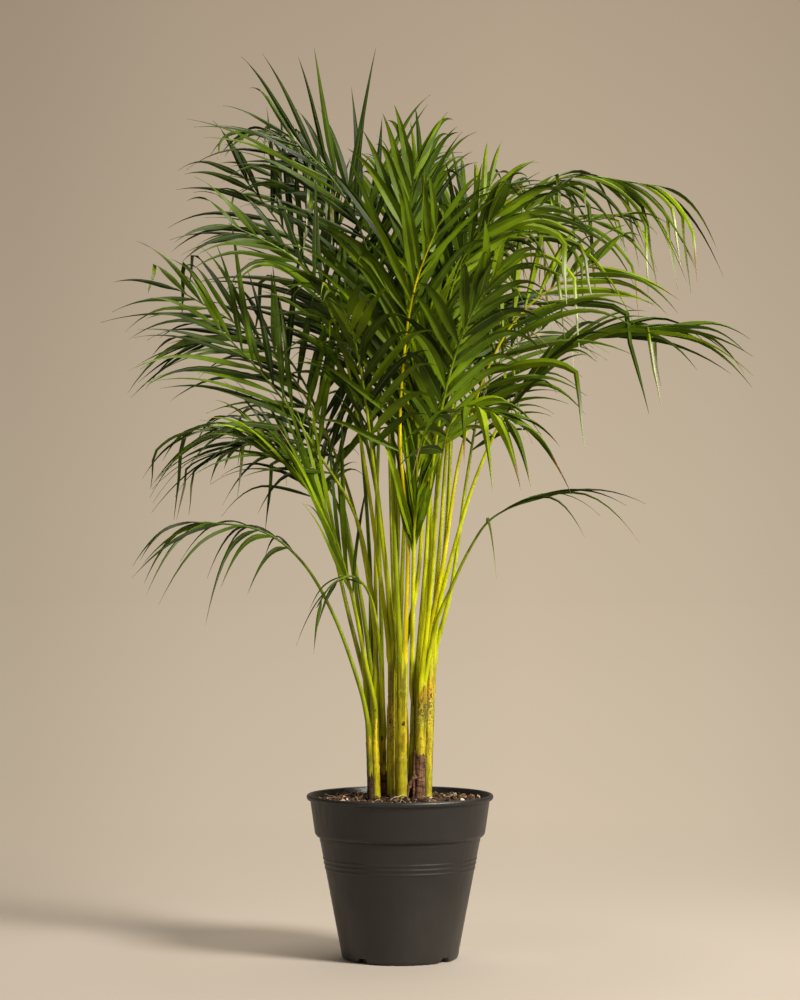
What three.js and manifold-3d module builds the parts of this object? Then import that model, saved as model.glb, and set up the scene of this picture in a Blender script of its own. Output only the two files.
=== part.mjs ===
// A butterfly palm in a nursery pot: a black plastic pot, its soil, a clump of ringed canes and
// the feathered fronds that rise from their tops.
// Millimetres. Z is up, the origin is the middle of the pot's flat underside, -Y is the front.

import * as THREE from 'three';
import { mergeVertices } from 'three/addons/utils/BufferGeometryUtils.js';
import Module from 'manifold-3d';

const wasm = await Module();
wasm.setup();

// Driving dimensions

const GAP = 0.3; // clearance between neighbouring pieces

const POT = {
  height: 211,
  rimRadius: 120,
  lipDepth: 6,
  collarTopRadius: 115.5,
  collarFootRadius: 110,
  collarFootHeight: 164,
  stepHeight: 156,
  taper: 0.19, // growth of the radius with height below the step
  footRadius: 74,
  footRound: 10, // height of the rounded edge at the foot
  undersideRadius: 66,
  shoulder: 3, // how far the step stands out at its lower edge
  wall: 2.5,
  sides: 32,
};

const DRAIN = {
  width: 11,
  height: 7,
  depth: 14,
  firstAngle: -40, // degrees from the front
  count: 4,
};

const SOIL = {
  height: 202,
  heap: 5, // how much higher it lies round the canes
  heapSpread: 45,
  crumb: 1.6,
  rings: [0.84, 0.66, 0.48, 0.3, 0], // corners of its surface, as shares of the radius
};

// A cane stands in the soil at foot [x, y] and ends at top [x, y, z]. Its old leaf scars are rings.
const CANE_DEPTH = 62; // how deep the canes stand in the soil
const CANE_SIDES = 8;
const CANE_CLEAR = 13; // above the soil's level, where a cane leaves its hole
const LOW_LEAN = 0.7; // share of a cane's lean that it has in a straight line; the rest is bowed
const LEAF_SCAR = { swell: 1.1, neck: 0.96, height: 3, belowTop: 20 };
const CANES = [
  { foot: [-38, 14], top: [-42, 24, 330], radius: 4, rings: 1 },
  { foot: [-30, -6], top: [-33, -8, 316], radius: 5, rings: 2 },
  { foot: [-21, 8], top: [-23, 10, 288], radius: 5, rings: 1, dry: true },
  { foot: [-11, -4], top: [-11, -6, 392], radius: 4.6, rings: 2 },
  { foot: [2, -22], top: [3, -26, 388], radius: 6.8, rings: 3 },
  { foot: [14, -9], top: [18, -8, 350], radius: 3.6, rings: 1 },
  { foot: [25, -14], top: [29, -18, 346], radius: 6, rings: 2, dry: true },
  { foot: [35, 3], top: [39, 2, 404], radius: 5.4, rings: 2 },
  { foot: [-2, 24], top: [-5, 36, 380], radius: 5.2, rings: 2 },
  { foot: [18, 20], top: [27, 32, 372], radius: 5.2, rings: 2 },
  { foot: [-24, 30], top: [-36, 46, 360], radius: 5.2, rings: 1 },
  { foot: [36, 26], top: [43, 38, 384], radius: 5, rings: 2 },
  { foot: [-37, -18], top: [-40, -20, 290], radius: 3.4, rings: 1, dry: true },
];

// A frond: the cane that bears it, the share of its length that is bare stalk, its longest leaflet
// and their width, how far they rise from flat (degrees), how much they droop (share of their
// length), how far the frond is twisted about its rib (degrees), how wide its leaflets spread (share
// of the usual angle) and the route of its stalk and rib, in points chosen by eye from the cane's top.
const frond = (cane, bare, longest, width, rise, droop, twist, spread, ...route) => (
  { cane, bare, longest, width, rise, droop, twist, spread, route });
const FRONDS = [
  // left, lowest to highest
  frond(13, 0.62, 140, 8, 8, 0.65, 15, 1,
    [-52, -22, 352], [-84, -26, 440], [-126, -45, 512], [-182, -60, 552], [-272, -75, 562]),
  frond(1, 0.58, 165, 10, 15, 0.5, 25, 1,
    [-54, 24, 450], [-80, 30, 580], [-128, 40, 650], [-186, 50, 684], [-262, 60, 680]),
  frond(2, 0.40, 230, 11, 10, 0.12, 55, 0.42,
    [-44, -16, 380], [-62, -32, 470], [-86, -50, 550], [-114, -66, 606], [-156, -84, 650]),
  frond(2, 0.54, 215, 10, 10, 0.16, 75, 1,
    [-32, -4, 430], [-54, -20, 560], [-105, -45, 650], [-159, -60, 730], [-237, -90, 815]),
  frond(3, 0.52, 185, 11, 10, 0.18, 70, 1,
    [-36, 10, 450], [-66, 6, 600], [-120, 0, 720], [-190, -10, 800], [-290, -20, 862]),
  frond(4, 0.55, 190, 11, 10, 0.18, 75, 1,
    [-20, 0, 520], [-38, 15, 640], [-80, 45, 800], [-136, 72, 918], [-212, 100, 1022]),
  frond(11, 0.54, 185, 11, 18, 0.2, 50, 1,
    [-40, 66, 520], [-58, 102, 720], [-95, 150, 880], [-130, 195, 975], [-175, 230, 1035]),
  frond(9, 0.68, 110, 9, 20, 0.5, 10, 1,
    [-24, 36, 560], [-55, 42, 800], [-85, 30, 950], [-138, 12, 1046], [-200, -8, 1064]),
  frond(4, 0.50, 190, 11, 12, 0.22, 68, 1,
    [-24, -12, 480], [-46, -30, 640], [-75, -50, 790], [-125, -90, 885], [-216, -130, 935]),
  frond(11, 0.48, 175, 11, 18, 0.25, 50, 1,
    [-54, 50, 480], [-88, 70, 640], [-130, 95, 750], [-190, 120, 810], [-280, 150, 800]),
  // top
  frond(5, 0.60, 230, 10, 8, 0.06, 75, 1,
    [-4, -32, 520], [-12, -30, 720], [-34, -28, 880], [-76, -34, 984], [-146, -44, 1058]),
  frond(9, 0.58, 165, 12, 10, 0.06, 65, 1,
    [-2, 50, 560], [-4, 54, 760], [-24, 52, 900], [-64, 48, 988], [-124, 46, 1044]),
  frond(8, 0.56, 175, 11, 20, 0.12, 0, 1,
    [40, 8, 560], [24, 20, 760], [14, 34, 880], [18, 48, 950], [30, 54, 1020]),
  frond(10, 0.55, 160, 11, 15, 0.15, -50, 1,
    [44, 34, 560], [58, 34, 740], [74, 42, 870], [92, 50, 945], [120, 60, 1005]),
  // right, highest to lowest
  frond(12, 0.50, 165, 9, 5, 0.8, -15, 1,
    [62, 50, 560], [74, 66, 780], [126, 76, 924], [206, 66, 1008], [336, 30, 996]),
  frond(8, 0.52, 180, 10, 8, 0.5, -50, 1,
    [52, 14, 540], [66, 24, 700], [102, 24, 845], [160, 12, 930], [262, -12, 950]),
  frond(8, 0.50, 200, 12, 8, 0.3, -72, 1,
    [56, -8, 512], [78, -18, 650], [116, -30, 765], [166, -40, 838], [256, -50, 895]),
  frond(8, 0.54, 185, 12, 10, 0.3, -20, 0.42,
    [62, -4, 500], [98, -25, 620], [145, -42, 715], [220, -52, 788], [352, -68, 812]),
  frond(7, 0.70, 220, 6, 5, 0.45, -10, 0.8,
    [46, -30, 430], [64, -45, 475], [90, -65, 530], [116, -85, 566], [165, -105, 592]),
  frond(7, 0.60, 130, 14, 15, 0.6, -20, 1,
    [40, -40, 480], [48, -80, 600], [62, -135, 685], [90, -185, 705], [140, -235, 685]),
  frond(10, 0.50, 190, 12, 10, 0.35, -65, 1,
    [36, 22, 540], [48, 12, 740], [72, -5, 868], [112, -22, 930], [186, -45, 968]),
  frond(12, 0.55, 160, 11, 15, 0.35, -40, 1,
    [68, 56, 480], [88, 80, 620], [108, 105, 720], [142, 135, 785], [195, 170, 820]),
  // front
  frond(5, 0.46, 195, 12, 20, 0.1, 0, 0.9,
    [10, -44, 540], [0, -70, 670], [6, -96, 780], [20, -124, 860], [50, -158, 936]),
  frond(4, 0.50, 175, 12, 18, 0.25, 15, 0.75,
    [-16, -24, 480], [-32, -52, 620], [-48, -92, 745], [-64, -138, 812], [-86, -190, 842]),
  frond(5, 0.56, 190, 13, 20, 0.1, 0, 0.9,
    [-6, -42, 520], [-10, -50, 660], [-4, -56, 790], [6, -66, 905], [20, -78, 1022]),
  frond(6, 0.54, 165, 13, 18, 0.3, 20, 0.85,
    [32, -20, 500], [40, -50, 620], [56, -84, 720], [82, -116, 805], [124, -152, 880]),
  frond(6, 0.50, 190, 13, 12, 0.05, 0, 0.4,
    [16, -32, 430], [18, -46, 540], [22, -60, 640], [27, -76, 730], [36, -98, 820]),
  frond(5, 0.52, 180, 13, 18, 0.25, 30, 0.9,
    [24, -34, 500], [34, -50, 660], [54, -72, 800], [78, -95, 890], [132, -126, 960]),
  frond(3, 0.66, 60, 6, 10, 0.6, 0, 1,
    [-26, -14, 400], [-38, -34, 466], [-60, -55, 492], [-86, -75, 482], [-106, -85, 452]),
  // back
  frond(1, 0.52, 170, 11, 20, 0.35, 20, 1,
    [-64, 40, 430], [-98, 90, 560], [-140, 165, 640], [-185, 220, 668], [-240, 290, 655]),
  frond(9, 0.50, 180, 12, 20, 0.35, 0, 1,
    [-10, 74, 520], [-14, 130, 690], [-12, 190, 810], [-4, 255, 860], [6, 340, 850]),
  frond(12, 0.50, 180, 12, 20, 0.35, 0, 1,
    [58, 70, 520], [70, 122, 690], [88, 182, 800], [125, 240, 850], [175, 315, 850]),
  frond(11, 0.54, 170, 12, 25, 0.2, 0, 1,
    [-30, 62, 600], [-22, 92, 800], [-10, 132, 930], [2, 175, 1000], [18, 225, 1040]),
  frond(9, 0.54, 170, 12, 20, 0.25, -25, 1,
    [8, 50, 600], [26, 78, 800], [58, 118, 930], [98, 158, 990], [155, 205, 1010]),
  frond(3, 0.54, 170, 11, 15, 0.2, 55, 1,
    [-28, 22, 560], [-42, 28, 740], [-64, 42, 880], [-94, 62, 965], [-152, 86, 1026]),
];

// The stalk and its rib, thinner towards the tip
const STALK_RADIUS = 2.7;
const TIP_RADIUS = 0.9;
const THINNING = 1.5; // power of the share of the length
const STALK_RISE = 16; // straight up out of the cane
const STALK_STATIONS = 7;

// Leaflets: pairs stand along the rib, wide apart at the stalk's end and slanting forward at the tip.
const PAIR_SPACING = 30;
const PAIR_START = 0.15; // of the spacing, before the first pair
const FEWEST_PAIRS = 3;
const ROOT_LENGTH = 7; // of a leaflet's root along the rib
const BASE_ANGLE = 52; // degrees from the rib
const END_ANGLE = 22;
const ANGLE_SCATTER = 9;
const LENGTH_SCATTER = 0.14;
const DROOP_SHARES = [0.75, 1.25];
const LEVELLING = 0.5; // how far a blade has turned level at its tip
const ANGLE_RANGE = [20, 80]; // however far a leaflet is bent clear
const RISE_RANGE = [-30, 50];
const NECK_SHARE = 0.3; // of a leaflet's first stretch, which may touch its own frond
const BLADE_STATIONS = [0.3, 0.68]; // shares of the length where a blade has a section
const BLADE_WIDTHS = [1, 0.72];
const RIDGE_HEIGHTS = [1.6, 1.3];

// A leaflet that would touch a neighbour is bent clear: each try may bend it further, and late
// tries shorten it too. One that stays in the way is left out.
const BEND_TRIES = 48;
const BEND = { angle: 34, rise: 60, droop: 0.5, unshortened: 0.4, shortest: 0.45 };

// Finishes

const finish = (color, roughness) => new THREE.MeshStandardMaterial({
  color, roughness, metalness: 0, flatShading: true });
const BLACK_PLASTIC = finish(0x2d2b28, 0.55);
const POTTING_SOIL = finish(0x4a3424, 0.95);
const CANE_GREEN = finish(0x9a9430, 0.5);
const CANE_BROWN = finish(0x6b4a2c, 0.8);
const LEAF_GREEN = finish(0x3f6a1c, 0.5);

// Small helpers

const UP = new THREE.Vector3(0, 0, 1);
const MERGE_WITHIN = 1e-4;
const radians = THREE.MathUtils.degToRad;
const { clamp, lerp: mix } = THREE.MathUtils;

/** A settled draw between 0 and 1 for three counting numbers. */
function draw(a, b, c) {
  const wave = Math.sin(a * 12.9898 + b * 78.233 + c * 37.719) * 43758.5453;
  return wave - Math.floor(wave);
}

/** A draw between -size and size. */
const scatter = (size, a, b, c) => size * (2 * draw(a, b, c) - 1);

function geometryOf(corners, faces) {
  const geometry = new THREE.BufferGeometry();
  geometry.setAttribute('position', new THREE.Float32BufferAttribute(corners.flatMap((p) => [...p]), 3));
  geometry.setIndex(faces.flat());
  return geometry;
}

/** A closed geometry with its shared corners merged, as a solid that can be cut. */
function solidOf(geometry) {
  const bare = geometry.clone();
  bare.deleteAttribute('normal');
  bare.deleteAttribute('uv');
  const merged = mergeVertices(bare, MERGE_WITHIN);
  return new wasm.Manifold(new wasm.Mesh({
    numProp: 3,
    vertProperties: new Float32Array(merged.attributes.position.array),
    triVerts: new Uint32Array(merged.index.array),
  }));
}

function geometryOfSolid(solid) {
  const mesh = solid.getMesh();
  const geometry = new THREE.BufferGeometry();
  geometry.setAttribute('position', new THREE.BufferAttribute(mesh.vertProperties, 3));
  geometry.setIndex(new THREE.BufferAttribute(mesh.triVerts, 1));
  return geometry;
}

/** A round solid about Z from [radius, height] points, its first and last point on the axis. */
function turned(profile, sides) {
  const points = profile.map(([radius, height]) => new THREE.Vector2(radius, height));
  const geometry = new THREE.LatheGeometry(points, sides);
  geometry.rotateX(Math.PI / 2);
  return geometry;
}

// The pot

const bodyRadius = (height) => POT.footRadius + POT.taper * height;

// The inside of the pot, from the floor to the mouth, as [radius, height]
const INSIDE = [
  [0, POT.wall],
  [POT.undersideRadius, POT.wall],
  [bodyRadius(POT.footRound) - POT.wall, POT.footRound],
  [bodyRadius(POT.stepHeight) - POT.wall, POT.stepHeight],
  [POT.collarFootRadius - POT.wall, POT.collarFootHeight],
  [POT.collarTopRadius - POT.wall, POT.height - POT.lipDepth],
];

function potGeometry() {
  const lipFoot = POT.height - POT.lipDepth;
  const lipEdge = POT.height - POT.lipDepth / 2;
  const outside = [
    [0, 0],
    [POT.undersideRadius, 0],
    [POT.footRadius - 2, POT.footRound * 0.3],
    [bodyRadius(POT.footRound), POT.footRound],
    [bodyRadius(POT.stepHeight - 2), POT.stepHeight - 2],
    [bodyRadius(POT.stepHeight) + POT.shoulder, POT.stepHeight + 2],
    [POT.collarFootRadius - 1.5, POT.collarFootHeight - 3],
    [POT.collarFootRadius, POT.collarFootHeight],
    [POT.collarTopRadius, lipFoot - 2],
    [POT.rimRadius - 1, lipFoot],
    [POT.rimRadius, lipEdge],
    [POT.rimRadius - 1.5, POT.height],
  ];
  const inside = [[POT.rimRadius - 4, POT.height], ...INSIDE.toReversed()];
  const shell = solidOf(turned([...outside, ...inside], POT.sides));
  const drains = new THREE.BoxGeometry(DRAIN.width, DRAIN.depth, DRAIN.height * 2);
  let pot = shell;
  for (let i = 0; i < DRAIN.count; i += 1) {
    const angle = radians(DRAIN.firstAngle + (360 / DRAIN.count) * i);
    const drain = drains.clone();
    drain.translate(0, -bodyRadius(0), 0);
    drain.rotateZ(angle);
    pot = pot.subtract(solidOf(drain));
  }
  return geometryOfSolid(pot);
}

// The canes

/** How far a cane has leaned over at a height, as a share: straight at its foot, then bowed. */
const caneAxis = (cane, height) => {
  const share = (height - SOIL.height) / (cane.top[2] - SOIL.height);
  const lean = LOW_LEAN * share + (1 - LOW_LEAN) * Math.max(0, share) ** 2;
  return [mix(cane.foot[0], cane.top[0], lean), mix(cane.foot[1], cane.top[1], lean)];
};

/** Moves each point of an upright turned solid sideways by its cane's lean at that height. */
function leanWith(cane, geometry) {
  const places = geometry.attributes.position;
  for (let i = 0; i < places.count; i += 1) {
    const [x, y] = caneAxis(cane, places.getZ(i));
    places.setX(i, places.getX(i) + x);
    places.setY(i, places.getY(i) + y);
  }
  return geometry;
}

function caneGeometry(cane) {
  const low = SOIL.height - CANE_DEPTH;
  const high = cane.top[2];
  const clear = SOIL.height + CANE_CLEAR;
  const profile = [[0, low], [cane.radius, low], [cane.radius, clear]];
  for (let i = 1; i <= cane.rings; i += 1) {
    const scar = mix(clear, high - LEAF_SCAR.belowTop, i / (cane.rings + 0.6));
    profile.push([cane.radius * LEAF_SCAR.swell, scar]);
    profile.push([cane.radius * LEAF_SCAR.neck, scar + LEAF_SCAR.height]);
  }
  profile.push([cane.radius, high], [0, high]);
  return leanWith(cane, turned(profile, CANE_SIDES));
}

/** The plain hole that a cane stands in. */
function holeGeometry(cane) {
  const low = SOIL.height - CANE_DEPTH - GAP;
  const high = SOIL.height + CANE_CLEAR - 2;
  const radius = cane.radius + GAP / Math.cos(Math.PI / CANE_SIDES);
  return leanWith(cane, turned([[0, low], [radius, low], [radius, high], [0, high]], CANE_SIDES));
}

// The soil

/** The soil's surface: heaped a little round the canes, with crumbs as small waves. */
function soilHeight(x, y) {
  const heap = SOIL.heap * Math.exp(-(x * x + y * y) / (2 * SOIL.heapSpread ** 2));
  const crumbs = Math.sin(x * 0.41 + 1.3) * Math.sin(y * 0.37) + 0.6 * Math.sin(x * 0.17 - y * 0.23);
  return SOIL.height + heap + SOIL.crumb * crumbs;
}

function soilGeometry() {
  const sideGap = 1.5 * GAP;
  const wall = INSIDE.slice(0, -1).map(([radius, height]) => [Math.max(0, radius - sideGap), height + GAP]);
  const [mouth] = INSIDE.at(-1);
  const edge = mouth - 2;
  const rings = SOIL.rings.map((share) => [edge * share, SOIL.height]);
  const profile = [...wall, [edge, SOIL.height - 3], ...rings];
  const geometry = turned(profile, POT.sides);
  const places = geometry.attributes.position;
  for (let i = 0; i < places.count; i += 1) {
    const height = places.getZ(i);
    if (height > SOIL.height - 1) places.setZ(i, soilHeight(places.getX(i), places.getY(i)));
  }
  let soil = solidOf(geometry);
  for (const cane of CANES) soil = soil.subtract(solidOf(holeGeometry(cane)));
  return geometryOfSolid(soil);
}

// Clearance between fronds

const CELL = 60;

/** Thin triangles and rods, each with a half-thickness, found again by the cells they lie in. */
class Neighbours {
  cells = new Map();

  keysOf(item) {
    const keys = [];
    const low = item.box.min.clone().divideScalar(CELL).floor();
    const high = item.box.max.clone().divideScalar(CELL).floor();
    for (let x = low.x; x <= high.x; x += 1) {
      for (let y = low.y; y <= high.y; y += 1) {
        for (let z = low.z; z <= high.z; z += 1) keys.push(`${x},${y},${z}`);
      }
    }
    return keys;
  }

  add(item) {
    for (const key of this.keysOf(item)) {
      if (!this.cells.has(key)) this.cells.set(key, []);
      this.cells.get(key).push(item);
    }
  }

  /** True when no stored item that matters is nearer to this one than their thickness and the gap. */
  allows(item) {
    for (const key of this.keysOf(item)) {
      for (const other of this.cells.get(key) ?? []) {
        if (item.box.intersectsBox(other.box) && matters(item, other) && tooNear(item, other)) return false;
      }
    }
    return true;
  }
}

/** A rod has two corners and a sheet three. It carries what it belongs to, so that kin can touch. */
function item(corners, radius, owner) {
  const edges = corners.length === 2
    ? [new THREE.Line3(...corners)]
    : corners.map((p, i) => new THREE.Line3(p, corners[(i + 1) % 3]));
  const face = corners.length === 3 ? new THREE.Triangle(...corners) : null;
  const box = new THREE.Box3().setFromPoints(corners).expandByScalar(radius + GAP);
  return { corners, edges, face, radius, box, ...owner };
}

/** Whether two items have to stay apart: a stalk can touch its cane, and a leaflet's neck its frond. */
function matters(a, b) {
  if (a.kind === 'cane' || b.kind === 'cane') return a.cane !== b.cane;
  if (a.frond !== b.frond) return true;
  if (a.neck || b.neck) return false;
  return a.kind !== b.kind || a.pair !== b.pair || a.side !== b.side;
}

const ray = new THREE.Ray();
const spot = new THREE.Vector3();
const otherSpot = new THREE.Vector3();

/** True when an edge passes through a face. */
function pierces(edge, face) {
  ray.origin.copy(edge.start);
  ray.direction.subVectors(edge.end, edge.start);
  const length = ray.direction.length();
  ray.direction.divideScalar(length);
  const hit = ray.intersectTriangle(face.a, face.b, face.c, false, spot);
  return hit !== null && hit.distanceTo(edge.start) <= length;
}

function tooNear(a, b) {
  const least = (a.radius + b.radius + GAP) ** 2;
  for (const one of a.edges) {
    for (const two of b.edges) {
      if (one.distanceSqToLine3(two, spot, otherSpot) < least) return true;
    }
  }
  for (const [flat, round] of [[a, b], [b, a]]) {
    if (!flat.face) continue;
    for (const corner of round.corners) {
      if (flat.face.closestPointToPoint(corner, spot).distanceToSquared(corner) < least) return true;
    }
    for (const edge of round.edges) {
      if (pierces(edge, flat.face)) return true;
    }
  }
  return false;
}

const taken = new Neighbours();

// The fronds' stalks and ribs

/** Feet of the stalks that share a cane's top, in a ring, in the order of the fronds' headings. */
function stalkFeet() {
  const feet = new Map();
  CANES.forEach((cane, index) => {
    const borne = FRONDS.filter((each) => each.cane === index + 1);
    const heading = (each) => {
      const [x, y] = each.route.at(-1);
      return Math.atan2(y - cane.top[1], x - cane.top[0]);
    };
    borne.sort((a, b) => heading(a) - heading(b));
    const ring = borne.length > 1 ? (STALK_RADIUS + GAP) / Math.sin(Math.PI / borne.length) : 0;
    const step = (2 * Math.PI) / borne.length;
    const turned = borne.map((each, i) => heading(each) - step * i);
    const sum = (values) => values.reduce((total, value) => total + value, 0);
    const turn = Math.atan2(sum(turned.map(Math.sin)), sum(turned.map(Math.cos)));
    borne.forEach((each, i) => {
      const angle = turn + step * i;
      feet.set(each, new THREE.Vector3(
        cane.top[0] + ring * Math.cos(angle), cane.top[1] + ring * Math.sin(angle), cane.top[2] + GAP));
    });
  });
  return feet;
}

function ribLine(each, foot) {
  const start = foot.clone().addScaledVector(UP, STALK_RISE);
  const route = each.route.map((point) => new THREE.Vector3(...point));
  const curve = new THREE.CatmullRomCurve3([foot, start, ...route], false, 'catmullrom', 0.5);
  curve.arcLengthDivisions = 400;
  return curve;
}

/** Where the rib has sections: evenly up the stalk, then at both ends of each leaflet root. */
function ribStations(each, length) {
  const stations = [];
  for (let i = 0; i < STALK_STATIONS; i += 1) stations.push(each.bare * (i / STALK_STATIONS));
  const leafy = length * (1 - each.bare);
  const pairs = Math.max(FEWEST_PAIRS, Math.floor(leafy / PAIR_SPACING));
  const roots = [];
  for (let i = 0; i < pairs; i += 1) {
    const share = each.bare + (1 - each.bare) * ((i + PAIR_START) / pairs);
    roots.push(stations.length);
    stations.push(share, share + ROOT_LENGTH / length);
  }
  return { stations, roots };
}

/**
 * The rib's triangular sections: two corners above, one below, thinner towards the tip. They lie level
 * at the foot and turn with the frond's twist up the bare stalk.
 */
function ribSections(each, curve, stations) {
  const tip = curve.getPointAt(1);
  const foot = curve.getPointAt(0);
  const across = new THREE.Vector3(tip.y - foot.y, foot.x - tip.x, 0).normalize();
  return stations.map((share) => {
    const centre = curve.getPointAt(share);
    const along = curve.getTangentAt(share);
    const twist = radians(each.twist) * THREE.MathUtils.smoothstep(share, 0, each.bare);
    const side = across.clone().addScaledVector(along, -across.dot(along)).normalize();
    side.applyAxisAngle(along, -twist);
    const above = new THREE.Vector3().crossVectors(side, along);
    const radius = mix(STALK_RADIUS, TIP_RADIUS, share ** THINNING);
    return { centre, along, side, above, radius };
  });
}

/** A frond's rib where it was drawn. Its route has to clear every piece that was placed before. */
function placedRib(each, index, foot) {
  const curve = ribLine(each, foot);
  const { stations, roots } = ribStations(each, curve.getLength());
  const sections = ribSections(each, curve, stations);
  sections.push({ centre: curve.getPointAt(1) });
  const owner = { kind: 'rib', frond: index, cane: each.cane };
  const rods = sections.slice(1).map((section, k) => item(
    [sections[k].centre, section.centre], sections[k].radius, owner));
  if (!rods.every((rod) => taken.allows(rod))) throw new Error(`The route of frond ${index + 1} is blocked`);
  for (const rod of rods) taken.add(rod);
  return { each, index, sections, roots };
}

// Leaflets

/** A leaflet's length along the leafy part: shorter at both ends, longest before the middle. */
const lengthShare = (u) => {
  const swell = Math.sin(Math.PI * Math.min(1, 0.2 + 0.62 * u));
  return 0.5 + 0.5 * swell - 0.3 * u ** 3;
};

/**
 * The leaflet's sections between root and tip. Its line leaves the rib at an angle and a rise and
 * sinks with the square of the way along it. Each section has two edges and a ridge above them.
 */
function bladeSections(rib, pair, side, bend) {
  const { each, index, sections, roots } = rib;
  const at = sections[roots[pair]];
  const next = sections[roots[pair] + 1];
  const u = pair / Math.max(1, roots.length - 1);
  const key = index + 1;
  const tag = 2 * pair + (side > 0 ? 1 : 0);
  const angle = radians(clamp(
    each.spread * mix(BASE_ANGLE, END_ANGLE, u) + scatter(ANGLE_SCATTER, key, tag, 1) + bend.angle,
    ...ANGLE_RANGE));
  const rise = radians(clamp(each.rise + scatter(ANGLE_SCATTER, key, tag, 2) + bend.rise, ...RISE_RANGE));
  const length = each.longest * lengthShare(u) * (1 + scatter(LENGTH_SCATTER, key, tag, 3)) * bend.length;
  const droop = Math.max(0, each.droop * mix(...DROOP_SHARES, draw(key, tag, 4)) + bend.droop);
  const start = at.centre.clone().lerp(next.centre, 0.5);
  const out = new THREE.Vector3()
    .addScaledVector(at.along, Math.cos(angle))
    .addScaledVector(at.side, side * Math.sin(angle) * Math.cos(rise))
    .addScaledVector(at.above, Math.sin(angle) * Math.sin(rise));
  const place = (s) => start.clone()
    .addScaledVector(out, length * s)
    .addScaledVector(UP, -length * droop * s * s);
  const blade = BLADE_STATIONS.map((s, i) => {
    const heading = out.clone().addScaledVector(UP, -2 * droop * s).normalize();
    const level = new THREE.Vector3().crossVectors(heading, UP);
    if (level.dot(at.along) < 0) level.negate();
    const width = at.along.clone().addScaledVector(heading, -at.along.dot(heading)).normalize();
    width.lerp(level, LEVELLING * s).addScaledVector(heading, -width.dot(heading)).normalize();
    const over = new THREE.Vector3().crossVectors(heading, width).multiplyScalar(side);
    const half = (each.width / 2) * BLADE_WIDTHS[i];
    const centre = place(s);
    return {
      centre,
      back: centre.clone().addScaledVector(width, -half),
      front: centre.clone().addScaledVector(width, half),
      ridge: centre.clone().addScaledVector(over, RIDGE_HEIGHTS[i]),
      over,
      height: RIDGE_HEIGHTS[i],
    };
  });
  const root = { back: at.centre, front: next.centre, over: at.above, height: 0 };
  return { root, blade, tip: place(1), side, pair };
}

/** The sheets that stand for a leaflet's neck, blade and tip, half-way up the ridge, for clearance. */
function bladeItems(leaflet, index) {
  const [root, ...sections] = [leaflet.root, ...leaflet.blade].map(({ back, front, over, height }) => (
    [back, front].map((point) => point.clone().addScaledVector(over, height / 2))));
  const neckEnd = root.map((point, k) => point.clone().lerp(sections[0][k], NECK_SHARE));
  const raised = [root, neckEnd, ...sections];
  const owner = { kind: 'blade', frond: index, pair: leaflet.pair, side: leaflet.side };
  const radius = Math.max(...RIDGE_HEIGHTS) / 2;
  const items = raised.slice(1).flatMap(([c, d], i) => {
    const [a, b] = raised[i];
    return [[a, b, d], [a, d, c]].map((corners) => item(corners, radius, { ...owner, neck: i === 0 }));
  });
  items.push(item([...raised.at(-1), leaflet.tip], radius, owner));
  return items;
}

/** The leaflet as drawn, or bent by the smallest amount that clears its neighbours, or none. */
function placedLeaflet(rib, pair, side) {
  for (let i = 0; i < BEND_TRIES; i += 1) {
    const size = i / BEND_TRIES;
    const shortening = Math.max(0, size - BEND.unshortened) / (1 - BEND.unshortened);
    const bend = {
      angle: scatter(BEND.angle * size, i, pair, 11 + side),
      rise: scatter(BEND.rise * size, i, pair, 21 + side),
      droop: scatter(BEND.droop * size, i, pair, 31 + side),
      length: mix(1, BEND.shortest, shortening),
    };
    const leaflet = bladeSections(rib, pair, side, bend);
    const items = bladeItems(leaflet, rib.index);
    if (items.every((each) => taken.allows(each))) {
      for (const each of items) taken.add(each);
      return leaflet;
    }
  }
  return null;
}

/** A four-cornered face as two triangles, parted along the diagonal that bulges outwards. */
function splitOutwards([a, b, c, d], corners) {
  const arm = (end) => new THREE.Vector3().subVectors(corners[end], corners[a]);
  const bulge = arm(c).cross(arm(d)).dot(arm(b));
  return bulge > 0 ? [[a, b, d], [b, c, d]] : [[a, b, c], [a, c, d]];
}

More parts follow.
